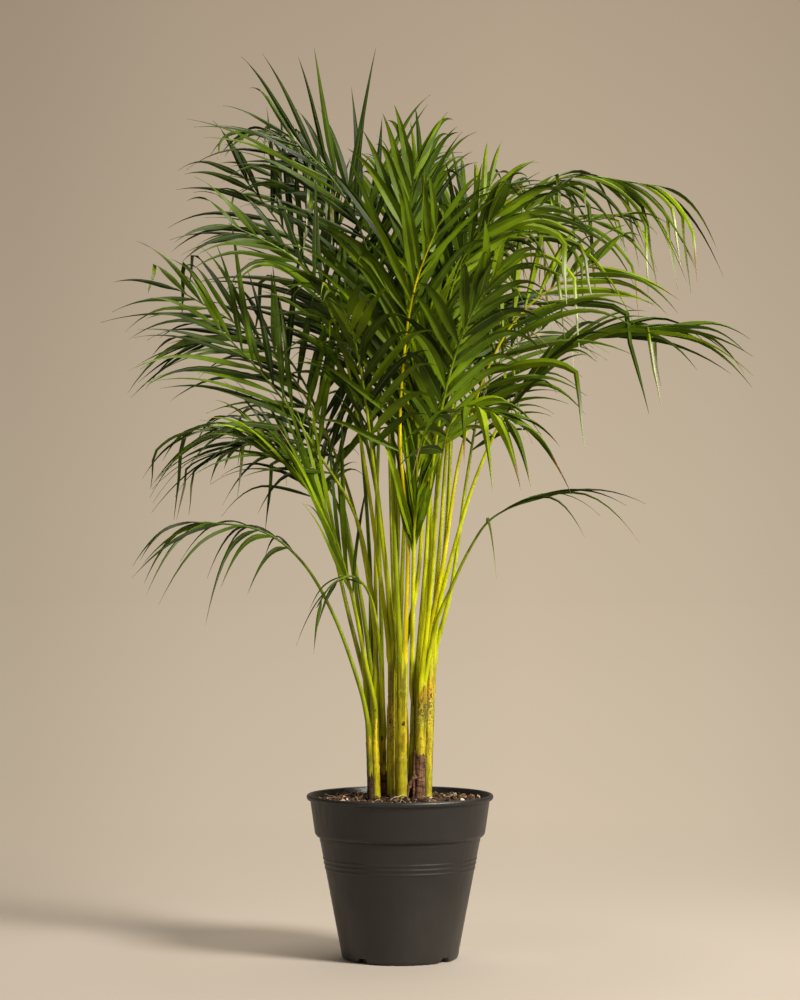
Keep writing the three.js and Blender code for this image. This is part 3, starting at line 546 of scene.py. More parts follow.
def stalk_skin(tree):
    """Stalk and rib: green, yellow or ochre with fine streaks and a few brown spots."""
    place = object_place(tree)
    along = value_of(tree, "along")
    tint = value_of(tree, "tone")
    streaks = noise(place, 260, 3, z_scale=0.08)
    spots = noise(place, 420, 4, 0.6, z_scale=0.4)
    patches = noise(place, 90, 3, z_scale=0.12)
    green = ramp(
        along, (0.0, (0.17, 0.22, 0.002)), (0.35, (0.080, 0.150, 0.002)), (1.0, (0.032, 0.075, 0.003)))
    yellow = ramp(
        along, (0.0, (0.48, 0.49, 0.002)), (0.3, (0.49, 0.53, 0.002)), (0.5, (0.33, 0.39, 0.002)),
        (0.8, (0.13, 0.20, 0.003)), (1.0, (0.06, 0.12, 0.004)))
    ochre = ramp(
        along, (0.0, (0.58, 0.50, 0.002)), (0.35, (0.66, 0.54, 0.003)), (0.85, (0.56, 0.50, 0.004)),
        (1.0, (0.14, 0.20, 0.005)))
    part_green = blend(ramp(tint, (0.1, 0.0), (0.5, 1.0)), green, yellow)
    color = blend(ramp(tint, (0.6, 0.0), (0.95, 1.0)), part_green, ochre)
    streaked = shaded(color, ramp(streaks, (0.35, 0.4), (0.65, 1.0)), 0.4)
    patched = shaded(streaked, ramp(patches, (0.36, 0.5), (0.55, 1.12)), 0.8)
    spotted = blend(ramp(spots, (0.62, 0.0), (0.72, 0.7)), patched, (0.12, 0.06, 0.015))
    return surface(spotted, 0.42, 0.18, bumped(streaks, 0.2, 0.0003))


def leaf_skin(tree):
    """Leaflet: satin green with lengthwise veins and a paler fold, thin enough to glow where the light
    comes through, straw-brown where it is dry."""
    spot = add(tree, "ShaderNodeUVMap", uv_map="UVMap")
    dryness = value_of(tree, "dryness")
    veins = noise(stretched(spot, (12, 0.7, 1)), 1, 2)
    patches = noise(object_place(tree), 16, 3)
    # The tone runs from dark green through lime to a pale whitish green; per frond it is partly painted
    # light and shade, and the pale top on fallen ends is partly painted sheen.
    base = ramp(
        value_of(tree, "tone"), (0.0, (0.017, 0.037, 0.002)), (0.27, (0.065, 0.117, 0.002)),
        (0.54, (0.148, 0.238, 0.003)), (0.77, (0.33, 0.46, 0.006)), (1.0, (0.55, 0.62, 0.36)))
    patched = shaded(base, ramp(patches, (0.34, 0.4), (0.66, 1.2)), 0.8)
    veined = shaded(patched, ramp(veins, (0.35, 0.55), (0.65, 1.0)), 0.4)
    off_fold = abs(axis_of(spot, "X") - 0.5)
    lined = blend(ramp(off_fold, (0.0, 0.55), (0.06, 0.0)), veined, (0.20, 0.26, 0.006))
    edge = noise(stretched(spot, (20, 9, 1)), 1, 3)
    dry = ramp(dryness + edge * 0.25, (0.55, 0.0), (0.68, 1.0))
    straw = ramp(
        dryness, (0.5, (0.30, 0.22, 0.07)), (0.8, (0.36, 0.24, 0.12)), (1.0, (0.62, 0.50, 0.38)))
    color = blend(dry, lined, straw)
    lit = add(tree, "ShaderNodeHueSaturation", {
        "Color": shaded(color, (1.0, 1.0, 0.55)), "Value": 1.45, "Saturation": 1.05, "Hue": 0.485})
    normal = bumped(veins, 0.4, 0.00015)
    front = surface(color, ramp(veins, (0.3, 0.36), (0.7, 0.5)), 0.17, normal)
    through = add(tree, "ShaderNodeBsdfTranslucent", {"Color": lit, "Normal": normal})
    return add(tree, "ShaderNodeMixShader", {0: 0.3, 1: front, 2: through})


# The pot

def body_radius(height):
    """The body is a cone: its radius grows evenly with the height."""
    return BODY_RADIUS + BODY_TAPER * height


ARC_STEPS = 5


def rounded(corners):
    """An outline whose corners (radius, height, rounding) are each a quadratic curve that starts and
    ends at the rounding's distance from the corner."""
    corners = np.array(corners, float)
    places = corners[:, :2]
    before = unit(np.roll(places, 1, axis=0) - places)
    after = unit(np.roll(places, -1, axis=0) - places)
    share = np.linspace(0, 1, ARC_STEPS)[None, :, None]
    reach = corners[:, 2:, None]
    start = places[:, None] + before[:, None] * reach
    end = places[:, None] + after[:, None] * reach
    arcs = start * (1 - share) ** 2 + places[:, None] * 2 * share * (1 - share) + end * share ** 2
    return arcs.reshape(-1, 2)


def fine_body():
    """The body's outside between foot and step: a cone with three beads and a soft shoulder line."""
    low, high = BEADED
    heights = np.concatenate([
        np.arange(FOOT_ROUND, low, 8), np.arange(low, high, 0.75), np.arange(high, STEP - 2, 1.5)])
    beads = sum(BEAD[0] * bump(heights, middle, BEAD[1]) for middle in BEAD_HEIGHTS)
    line = SHOULDER[0] * bump(heights, SHOULDER_LINE, SHOULDER[1])
    return np.stack([body_radius(heights) + beads + line, heights], axis=1)


def pot_outline():
    """Radius and height of the pot's wall, from the underside up the outside, over the rolled lip and
    down the inside to the middle of the floor, with no point twice. A flat disc closes each end."""
    lip_foot = POT_HEIGHT - LIP_DEPTH
    foot = rounded([
        (AXIS_DISC, 0, 0), (UNDERSIDE_RADIUS - 5, 0, 0), (UNDERSIDE_RADIUS, 0, 1),
        (BODY_RADIUS + 0.6, 1.2, 3.5), (body_radius(FOOT_ROUND), FOOT_ROUND, 0)])[ARC_STEPS:-ARC_STEPS]
    collar = rounded([
        (body_radius(STEP), STEP, 0.8), (body_radius(STEP) + 3.2, STEP + 1.5, 1.2),
        (COLLAR_FOOT_RADIUS - 0.6, COLLAR_FOOT - 3, 1.6), (COLLAR_TOP_RADIUS, lip_foot - 1.4, 1),
        (RIM_RADIUS - 0.6, lip_foot - 0.4, 1.2), (RIM_RADIUS + 0.4, POT_HEIGHT - 2.4, 1.6),
        (RIM_RADIUS - 1.6, POT_HEIGHT + 0.2, 1.4), (RIM_RADIUS - 4.6, POT_HEIGHT - 0.6, 1.4),
        (COLLAR_TOP_RADIUS - POT_WALL, lip_foot - 3, 1.5), (COLLAR_FOOT_RADIUS - POT_WALL, COLLAR_FOOT, 2),
        (body_radius(STEP) - POT_WALL, STEP - 2, 2), (body_radius(FOOT_ROUND) - POT_WALL, 12, 2),
        (UNDERSIDE_RADIUS, POT_WALL, 2), (AXIS_DISC, POT_WALL, 0)])
    outline = np.concatenate([foot, fine_body(), collar])
    apart = np.linalg.norm(np.diff(outline, axis=0), axis=1) > 0.001
    return outline[np.append(True, apart)]


def pot_surface():
    """The outline turned about Z. At each drain the wall's foot, outside and inside alike, is lifted
    by a window of the angle that is 1 over the drain's width and falls to 0 beside it."""
    outline = pot_outline()
    angle = np.linspace(0, 2 * np.pi, POT_SEGMENTS, endpoint=False)
    window = np.zeros(POT_SEGMENTS)
    for middle in np.radians(DRAIN_ANGLES):
        away = np.abs((angle - middle + np.pi) % (2 * np.pi) - np.pi) * BODY_RADIUS
        window = np.maximum(window, 1 - smooth((away - DRAIN_WIDTH / 2) / DRAIN_SLOPE))
    radius, height = outline[:, :1], outline[:, 1:]
    near_foot = (radius > UNDERSIDE_RADIUS + 0.5) & (height < DRAIN_HEIGHT + 3)
    inside = np.arange(len(outline))[:, None] > outline[:, 1].argmax()
    ceiling = np.where(inside, DRAIN_HEIGHT + POT_WALL, DRAIN_HEIGHT)
    lifted = np.where(near_foot, mix(height, np.maximum(height, ceiling), window[None]), height + 0 * window)
    return np.stack([radius * np.sin(angle), -radius * np.cos(angle), lifted], axis=-1)


def make_pot(material):
    points = pot_surface()
    mesh = mesh_of("pot", points.reshape(-1, 3), lofted(points[None]), [material], crease=50)
    add_piece("nursery_pot", mesh, "pot_plastic", "pot")


# The soil

def soil_height(x, y):
    """The soil's level, with a low heap in the middle and two crossed waves for its crumbs."""
    heap = SOIL_HEAP * np.exp(-(x * x + y * y) / (2 * HEAP_SPREAD ** 2))
    waves = np.sin(x * 0.41 + 1.3) * np.sin(y * 0.37) + 0.6 * np.sin(x * 0.17 - y * 0.23)
    return SOIL_HEIGHT + heap + CRUMB_WAVE * waves


def crumb_relief(x, y):
    """Finer relief: the size of a product of bent short waves, and a weaker product of shorter ones."""
    first = np.abs(np.sin(x * 1.15 + 1.7 * np.sin(y * 0.6)) * np.sin(y * 1.25 + 1.3 * np.sin(x * 0.7)))
    second = np.sin(x * 2.6 + y * 1.1) * np.sin(y * 2.9 - x * 0.8)
    return 1.5 * first + 0.4 * second - 0.6


def make_soil(material):
    """The bed's side follows the pot's inside at its clearance. Its top is the soil's height with the
    crumbs' relief, on rings that lie closer towards the wall."""
    angle = np.linspace(0, 2 * np.pi, SOIL_SEGMENTS, endpoint=False)
    inward = POT_WALL + SOIL_CLEAR
    mouth = MOUTH_RADIUS - 1.6
    side = np.array([
        (AXIS_DISC, inward), (UNDERSIDE_RADIUS - SOIL_CLEAR, inward),
        (body_radius(FOOT_ROUND) - inward, FOOT_ROUND), (body_radius(STEP) - inward, STEP - 2),
        (COLLAR_FOOT_RADIUS - inward, COLLAR_FOOT + 1), (mouth, SOIL_HEIGHT - 4)])
    rings = mouth * np.sin(np.linspace(np.pi / 2, 0.015, SOIL_RINGS))
    radius = np.concatenate([side[:, 0], rings])[:, None]
    x = radius * np.sin(angle)
    y = -radius * np.cos(angle)
    top = soil_height(x, y) + crumb_relief(x, y)
    level = np.concatenate([side[:, 1], np.zeros(len(rings))])[:, None]
    z = np.where(np.arange(len(radius))[:, None] < len(side), level + 0 * x, top)
    points = np.stack([x, y, z], axis=-1)
    mesh = mesh_of("soil", points.reshape(-1, 3), lofted(points[None]), [material], crease=60)
    add_piece("soil_bed", mesh, "potting_soil", "soil")


def random_places(count, seed, reach):
    """Points spread evenly over a disc, at the root of a draw times its reach, and clear of the canes'
    feet. What the draws come from is given back as well."""
    random = np.random.default_rng(seed)
    radius = reach * np.sqrt(random.random(count * 2))
    angle = 2 * np.pi * random.random(count * 2)
    places = np.stack([radius * np.cos(angle), radius * np.sin(angle)], axis=1)
    feet = np.array([cane.foot for cane in CANES], float)
    radii = np.array([cane.radius for cane in CANES])
    apart = np.linalg.norm(places[:, None] - feet[None], axis=2) - radii
    return places[apart.min(1) > 1.5][:count], random


def turns(random, count):
    """Random turns as matrices, each from a unit quaternion."""
    w, x, y, z = unit(random.normal(size=(count, 4))).T
    return np.stack([
        np.stack([1 - 2 * (y * y + z * z), 2 * (x * y - w * z), 2 * (x * z + w * y)], axis=-1),
        np.stack([2 * (x * y + w * z), 1 - 2 * (x * x + z * z), 2 * (y * z - w * x)], axis=-1),
        np.stack([2 * (x * z - w * y), 2 * (y * z + w * x), 1 - 2 * (x * x + y * y)], axis=-1)], axis=1)


def icosahedron():
    """Corners from three golden rectangles, set on the unit sphere, and faces: every three corners
    that are an edge apart, turned outwards."""
    golden = (1 + math.sqrt(5)) / 2
    seed = [(a, b * golden) for a in (-1, 1) for b in (-1, 1)]
    corners = unit(np.array(
        [(0, a, b) for a, b in seed] + [(a, b, 0) for a, b in seed] + [(b, 0, a) for a, b in seed], float))
    just_over_edge = 1.06  # an edge is 1.051 long
    near = np.linalg.norm(corners[:, None] - corners[None], axis=2) < just_over_edge
    triples = [
        (i, j, k) for i in range(12) for j in range(i + 1, 12) for k in range(j + 1, 12)
        if near[i, j] and near[j, k] and near[i, k]]
    faces = np.array([
        (i, j, k) if np.dot(np.cross(corners[j] - corners[i], corners[k] - corners[i]), corners[i]) > 0
        else (i, k, j) for i, j, k in triples])
    return corners, faces


def chip_shapes():
    """Icosahedra with uneven corners, drawn out to length, width and thickness, turned and partly sunk
    in the bed. Most are small, by a power of a draw."""
    corners, faces = icosahedron()
    places, random = random_places(CHIPS, 7, MOUTH_RADIUS - 6)
    count = len(places)
    size = 1.3 + 3.4 * random.random(count) ** 2.5
    shape = np.stack([1.25 * size, 0.75 * size, 0.42 * size], axis=1)
    uneven = 1 + 0.35 * (random.random((count, len(corners), 1)) - 0.5)
    body = corners[None] * uneven * shape[:, None]
    tilt = turns(random, count)
    level = soil_height(places[:, 0], places[:, 1]) + crumb_relief(places[:, 0], places[:, 1])
    centre = np.column_stack([places, level + 0.15 * size])
    points = np.einsum("nij,nkj->nki", tilt, body) + centre[:, None]
    tone = np.repeat(random.random(count) ** 1.25, len(corners))
    table = (faces[None] + len(corners) * np.arange(count)[:, None, None]).reshape(-1, 3)
    return points.reshape(-1, 3), table, tone


def fibre_shapes():
    """Thin four-sided strands that lie on the bed: each is bowed with the square of the way from its
    middle, thins with the cube and is lifted evenly towards one end."""
    strands, random = random_places(FIBRES, 11, MOUTH_RADIUS - 14)
    many = len(strands)
    way = np.linspace(-1, 1, FIBRE_STATIONS)
    heading = 2 * np.pi * random.random((many, 1))
    length = 4 + 9 * random.random((many, 1))
    bow = 0.35 * length * (random.random((many, 1)) - 0.5)
    x = strands[:, :1] + length * way * np.cos(heading) - bow * way ** 2 * np.sin(heading)
    y = strands[:, 1:] + length * way * np.sin(heading) + bow * way ** 2 * np.cos(heading)
    lift = random.random((many, 1)) * 3 * (1 + way * np.sign(random.random((many, 1)) - 0.5))
    line = np.stack([x, y, soil_height(x, y) + 1.2 + lift], axis=-1)
    thickness = (0.28 + 0.35 * random.random((many, 1))) * (1 - 0.6 * np.abs(way) ** 3)
    threads = tube_rings(line, UP, thickness, thickness, FIBRE_CORNERS)
    return threads, np.repeat(0.72 + 0.25 * random.random(many), FIBRE_STATIONS * FIBRE_CORNERS)


def make_chips(material):
    """The chips of bark and the fibres, as one piece."""
    chips, chip_table, chip_tone = chip_shapes()
    threads, thread_tone = fibre_shapes()
    tables = [chip_table] + [table + len(chips) for table in lofted(threads)]
    mesh = mesh_of(
        "chips", np.concatenate([chips, threads.reshape(-1, 3)]), tables, [material],
        tone=np.concatenate([chip_tone, thread_tone]))
    add_piece("bark_crumbs", mesh, "potting_soil")


# Tubes

def headings(line):
    """The unit direction of a line's points, from each point's neighbours."""
    return unit(np.gradient(line, axis=-2))


def tube_rings(line, hint, wide, high, corners):
    """Rings round a line: corner k of a ring lies at angle 2 pi k / corners, wide along the hint's
    level direction and high across it."""
    along = headings(line)
    side = unit(hint - dot(hint, along) * along)
    under = np.cross(along, side)
    angle = 2 * np.pi * np.arange(corners) / corners
    across = side[..., None, :] * np.cos(angle)[:, None] * wide[..., None, None]
    upright = under[..., None, :] * np.sin(angle)[:, None] * high[..., None, None]
    return line[..., None, :] + across + upright


# The canes

def cane_axis(cane, height):
    """The cane's middle at a height: part of its lean is straight, the rest grows with the square."""
    foot, top = np.array(cane.foot, float), np.array(cane.top[:2], float)
    share = (height - SOIL_HEIGHT) / (cane.top[2] - SOIL_HEIGHT)
    lean = LOW_LEAN * share + (1 - LOW_LEAN) * np.maximum(0, share) ** 2
    return np.concatenate([mix(foot, top, lean[:, None]), height[:, None]], axis=1)


def scar_heights(cane):
    """The large scars stand at even steps between the soil and a little below the cane's top."""
    clear = SOIL_HEIGHT + CANE_CLEAR
    high = cane.top[2] - SCAR_BELOW_TOP
    return [mix(clear, high, i / (cane.scars + 0.6)) for i in range(1, cane.scars + 1)]


def cane_surface(cane, key):
    """Rings up a cane. The radius swells at each leaf scar with a narrow neck above it, flares at the
    soil, wanders with two sines and closes in an ellipse inside the stalks' bases."""
    top = cane.top[2]
    closing = top - CLOSING_BELOW
    heights = np.concatenate([
        np.linspace(SOIL_HEIGHT - CANE_DEPTH, SOIL_HEIGHT - 8, 4),
        np.arange(SOIL_HEIGHT - 6, closing, CANE_STEP),
        closing + CLOSING_LENGTH * np.sin(np.linspace(0, np.pi / 2, 9))])
    radius = np.full(len(heights), float(cane.radius))
    scar = np.zeros(len(heights))
    for height in scar_heights(cane):
        radius *= 1 + 0.07 * bump(heights, height, 2.2) - 0.04 * bump(heights, height + 4, 2.6)
        scar = np.maximum(scar, 0.6 * bump(heights, height + 0.8, 1.2))
    for i in range(3):
        minor = mix(SOIL_HEIGHT + 8, top - 26, draw(key, i, 41))
        radius *= 1 + 0.02 * bump(heights, minor, 1.6)
        scar = np.maximum(scar, 0.25 * bump(heights, minor, 0.9))
    radius *= 1 + 0.16 * smooth((SOIL_HEIGHT + 16 - heights) / 16)
    radius *= 1 + 0.02 * np.sin(heights * 0.21 + key) + 0.015 * np.sin(heights * 0.53 + 2 * key)
    closed = np.maximum(0, heights - closing) / (CLOSING_LENGTH + 0.2)
    radius *= np.sqrt(np.clip(1 - closed ** 2, 0.0005, 1))
    rings = tube_rings(cane_axis(cane, heights), np.array([1.0, 0, 0]), radius, radius, CANE_CORNERS)
    up = np.clip((heights - SOIL_HEIGHT) / (top - SOIL_HEIGHT), 0, 1)
    return rings, np.repeat(up, CANE_CORNERS), np.repeat(scar, CANE_CORNERS)


SHEATH_CORNERS = 36
SHEATH_RINGS = 28
SHEATH_THICKNESS = 0.45


def sheath_surface(cane, key, low, high, loose, torn):
    """A papery wrap round a cane: outer wall up and inner wall down. Its upper edge is torn to a height
    that changes with the angle, it stands off a little more at the top, and waves that run round it at
    a slant make its lower part gnarled."""
    angle = 2 * np.pi * np.arange(SHEATH_CORNERS) / SHEATH_CORNERS
    rag = 0.5 + 0.25 * np.sin(angle + key) + 0.15 * np.sin(3 * angle + 2 * key) + 0.1 * np.sin(8 * angle)
    edge = high - torn * rag
    share = np.linspace(0, 1, SHEATH_RINGS)[:, None]
    height = mix(low, edge[None], share)
    crinkle = 0.22 * np.sin(5 * angle + 9 * share + key) + 0.12 * np.sin(13 * angle - 14 * share)
    gnarls = 0.55 * np.sin(0.36 * height + 1.6 * np.sin(angle + key)) ** 4 * (1 - share)
    snug = cane.radius * (1.10 - 0.06 * share)
    outer = snug + loose * share ** 2 + crinkle * cane.radius / 6 + gnarls + 0.4
    inner = outer - SHEATH_THICKNESS
    middle = cane_axis(cane, height.ravel())[:, :2].reshape(SHEATH_RINGS, SHEATH_CORNERS, 2)
    direction = np.stack([np.cos(angle), np.sin(angle)], axis=-1)[None]
    walls = [
        np.concatenate([middle + direction * radius[..., None], height[..., None]], axis=-1)
        for radius in (outer, inner)]
    return np.concatenate([walls[0], walls[1][::-1]])


STUB_WIDTHS = np.array([1, 0.98, 0.95, 0.9, 0.82, 0.7, 0.5, 0.12])  # shares of a stub's width up it
STUB_CORNERS = 10


def stub_rings(cane, height, turn, length, width, lean):
    """The rest of an old stalk: a flat tube that rises evenly out of the cane's side, leans out with a
    power of the way up and narrows."""
    foot = cane_axis(cane, np.array([float(height)]))[0]
    out = np.array([math.cos(turn), math.sin(turn), 0])
    share = np.linspace(0, 1, len(STUB_WIDTHS))[:, None]
    away = cane.radius * 0.7 + share * 2 + lean * share ** 1.4
    line = foot + out * away + UP * length * share
    thick = width * STUB_WIDTHS
    return tube_rings(line, np.array([-out[1], out[0], 0]), thick, thick * 0.6, STUB_CORNERS)


# What stands on a cane, told by the cane's number. Rests of old stalks: height, turn in degrees,
# length, width, lean, and 0 for green or 1 for dry. Sheaths: lowest height, highest point, looseness
# and depth of the tears. Dry roots and strips of husk beside the foot: line and thickness.
STUBS = {
    1: [(318, 180, 46, 1.0, 2, 1)],
    2: [(282, -78, 36, 2.4, 0.5, 0), (314, -78, 7, 1.1, 2.6, 1)],
    3: [(262, -70, 24, 2.6, 0, 0), (278, -95, 8, 1.8, 2.5, 1)],
    4: [(300, -110, 8, 1.4, 2.4, 1), (330, -60, 70, 2.6, 2, 0), (204, 190, 124, 3.4, 0.4, 0)],
    5: [(299, -72, 8, 2.3, 3.2, 1), (268, -60, 26, 4.2, 0, 0)],
    6: [(208, -70, 16, 3.0, 3, 1), (318, -90, 46, 0.8, 4, 1), (206, 185, 116, 3.0, 0.2, 0)],
    7: [(322, -60, 30, 3.0, 1, 0)],
    8: [(330, -60, 12, 1.1, 1.6, 1)],
    13: [(262, -100, 26, 2.4, 0, 0)],
}
SHEATHS = {
    7: (SOIL_HEIGHT - 6, 267, 0.3, 12),
    13: (SOIL_HEIGHT - 6, 246, 0.0, 30),
    3: (SOIL_HEIGHT - 6, 250, 0.6, 16),
    6: (SOIL_HEIGHT - 6, 226, 0.5, 14),
}
ROOTS = {
    7: [
        (((21, -22, 236), (16, -23, 231), (11, -22, 221), (8, -20, 208), (6, -20, 196)), 3.2),
        (((19, -16, 268), (18.5, -17, 250), (18, -18, 228), (17, -18, 210), (16, -18, 194)), 2.0)],
}
ROOT_STATIONS = 12
ROOT_CORNERS = 10
SHORT_STUB = 60  # a shorter one turns amber towards its end


def root_rings(points, thick):
    """A dry root: a tube along a curve, that thins evenly and is knotted by a sine."""
    share = np.linspace(0, 1, ROOT_STATIONS)
    wide = thick * (1 - 0.35 * share) * (1 + 0.15 * np.sin(np.arange(ROOT_STATIONS) * 1.9))
    return tube_rings(RibLine(points).at(share), np.array([0.0, 1, 0]), wide, wide, ROOT_CORNERS)


def plain_part(rings):
    """A part in the dry finish, with nothing marked on it: its rings, three marks and its slot."""
    return (rings[None], *np.zeros((3, rings[..., 0].size)), 1)


def make_cane(index, skins):
    """A cane with the rests of its old stalks, and on some canes dry roots and a dry sheath. Each part
    is its rings, the marks that the finish reads (along, scar and amber) and its slot."""
    cane = CANES[index]
    number = index + 1
    yellow, speckled, worn, densest = CANE_LOOKS[index]
    rings, up, scar = cane_surface(cane, number)
    ripe = speckled ** 2 * bump(rings[..., 2].ravel(), densest + 22, 14)
    parts = [(rings[None], up, scar, ripe, 0)]
    for height, turn, length, width, lean, slot in STUBS.get(number, []):
        stub = stub_rings(cane, height, math.radians(turn), length, width, lean)
        share = np.repeat(np.linspace(0, 1, len(STUB_WIDTHS)), STUB_CORNERS)
        amber = 0.8 * share * (length < SHORT_STUB)
        parts.append((stub[None], np.full(len(share), 0.6), smooth((share - 0.7) / 0.3), amber, slot))
    parts += [plain_part(root_rings(*root)) for root in ROOTS.get(number, [])]
    if number in SHEATHS:
        parts.append(plain_part(sheath_surface(cane, number, *SHEATHS[number])))
    points, tables, slots, offset = [], [], [], 0
    for rings, *_, slot in parts:
        made = [table + offset for table in lofted(rings, ends_meet=rings.shape[2] == SHEATH_CORNERS)]
        tables += made
        slots += [np.full(len(table), slot) for table in made]
        points.append(rings.reshape(-1, 3))
        offset += len(points[-1])
    whole = np.concatenate(points)
    along, scars, ambers = (np.concatenate([part[k] for part in parts]) for k in (1, 2, 3))
    mesh = mesh_of(
        f"cane_{number:02d}", whole, tables, skins, material_of=np.concatenate(slots), crease=60,
        along=along, scar=scars, amber=ambers, tone=yellow, wear=worn,
        specks=speckled * (0.35 + 0.65 * bump(whole[:, 2], densest, 16)))
    slot = "dry_cane" if cane.dry else "green_cane"
    add_piece(f"cane_stem_{number:02d}", mesh, slot, f"cane_{number:02d}")


# The fronds

def stalk_feet():
    """Feet of the stalks on each cane's top: a ring in the order of the fronds' headings, turned to
    the mean of what each stalk's heading asks for."""
    feet = {}
    for number, cane in enumerate(CANES, 1):
        top = np.array(cane.top, float)
        borne = [i for i, frond in enumerate(FRONDS) if frond.build.cane == number]
        heading = {i: math.atan2(*(np.array(FRONDS[i].route[-1]) - top)[[1, 0]]) for i in borne}
        borne.sort(key=heading.get)
        ring = (STALK_RADIUS + GAP) / math.sin(math.pi / len(borne)) if len(borne) > 1 else 0
        step = 2 * math.pi / len(borne)
        asked = np.array([heading[i] - step * k for k, i in enumerate(borne)])
        turn = math.atan2(np.sin(asked).sum(), np.cos(asked).sum())
        for k, i in enumerate(borne):
            angle = turn + step * k
            feet[i] = top + np.array([ring * math.cos(angle), ring * math.sin(angle), GAP])
    return feet


class RibLine:
    """A Catmull-Rom curve through points, read by the share of its length: between two points it is
    the cubic with half the chord of their neighbours as its slope, and the end chords are repeated."""

    def __init__(self, points):
        places = np.array(points, float)
        self.knots = np.concatenate([[2 * places[0] - places[1]], places, [2 * places[-1] - places[-2]]])
        self.ways = np.linspace(0, len(places) - 1, 1500)
        steps = np.linalg.norm(np.diff(self.at_way(self.ways), axis=0), axis=1)
        self.lengths = np.concatenate([[0], np.cumsum(steps)])
        self.length = self.lengths[-1]

    def at_way(self, way):
        i = np.clip(np.floor(way).astype(int), 0, len(self.knots) - 4)
        u = (way - i)[:, None]
        a, b, c, d = (self.knots[i + k] for k in range(4))
        return b + 0.5 * u * (c - a + u * (2 * a - 5 * b + 4 * c - d + u * (3 * (b - c) + d - a)))

    def at(self, share):
        return self.at_way(np.interp(share * self.length, self.lengths, self.ways))

    def heading(self, share):
        little = 1e-3
        return unit(self.at(np.minimum(1, share + little)) - self.at(np.maximum(0, share - little)))


def rib_frame(rib, share, bare, twist):
    """Along, side and above at shares of a rib: side is level and square to the chord at the foot, and
    turns about the rib by the frond's twist up the bare stalk."""
    foot, tip = rib.at(np.array([0.0, 1.0]))
    across = unit(np.array([tip[1] - foot[1], foot[0] - tip[0], 0]))
    along = rib.heading(share)
    level = unit(across - dot(along, across) * along)
    turn = (math.radians(twist) * smooth(share / bare))[:, None]
    side = level * np.cos(turn) + np.cross(level, along) * np.sin(turn)
    return along, side, np.cross(side, along)


def rib_radius(share):
    """The rib thins from the stalk's radius to the tip's with a power of the way along."""
    return mix(STALK_RADIUS, TIP_RADIUS, share ** THINNING)


def stalk_surface(frond, rib):
    """Rings of the stalk and rib: a base that clasps the cane and comes out of its side, then a tube
    a little wider than high that thins with a power of the way along, from a foot whose swell fades
    as e to a negative power of the distance."""
    cane = CANES[frond.build.cane - 1]
    heights = cane.top[2] - CLASP_DEPTH * CLASP_SHARES
    foot = rib.at(np.array([0.0]))[0]
    offset = foot[:2] - np.array(cane.top[:2])
    base = cane_axis(cane, heights)
    base[:, :2] += offset * mix(1, 0.35, smooth(CLASP_SHARES))[:, None]
    share = np.concatenate([np.linspace(0, 0.12, 8)[:-1], np.linspace(0.12, 0.995, 46)])
    line = np.concatenate([base, rib.at(share)])
    swell = 1 + 0.4 * np.exp(-share * rib.length / 80)
    clasp = STALK_RADIUS * mix(1.4, 0.9, smooth(CLASP_SHARES))
    radius = np.concatenate([clasp, rib_radius(share) * swell])
    radius[-1] *= 0.4
    tip = rib.at(np.array([1.0]))[0]
    across = unit(np.array([tip[1] - foot[1], foot[0] - tip[0], 0]))
    rings = tube_rings(line, across, radius, radius * 0.92, STALK_CORNERS)
    way = np.concatenate([np.zeros(len(CLASP_SHARES)), share])
    return rings, np.repeat(way, STALK_CORNERS)


STATIONS = np.array([0, 0.035, 0.09, 0.17, 0.27, 0.37, 0.47, 0.57, 0.67, 0.76, 0.85, 0.93, 1])
WAY = STATIONS[None, :, None]  # the share of a leaflet's length at each of its rings
BLADE_CORNERS = 4
PALEST = 1.3  # a leaflet's tone where its fallen end is pale: partly its pale underside, partly painted sheen
STEEPEST_FOLD = 78  # degrees


def blade_width(s):
    """Half a leaflet's width as a share: a soft step from a narrow root to full by a quarter, times a
    power's fall to a hair at the tip."""
    taper = np.clip((s - 0.27) / 0.73, 0, 1)
    return (0.28 + 0.72 * smooth(s / 0.24)) * (1 - taper ** 1.5) * (1 - 0.34 * taper) + 0.012


def length_share(u):
    """A leaflet's length along the leafy part: a stretch of a sine that is longest before the middle,
    less a cube towards the tip."""
    swell = np.sin(np.pi * np.minimum(1, 0.2 + 0.62 * u))
    return 0.5 + 0.5 * swell - 0.3 * u ** 3


def deep(values):
    """A value for each leaflet, set so that it holds at all its stations."""
    return values[:, None, None]


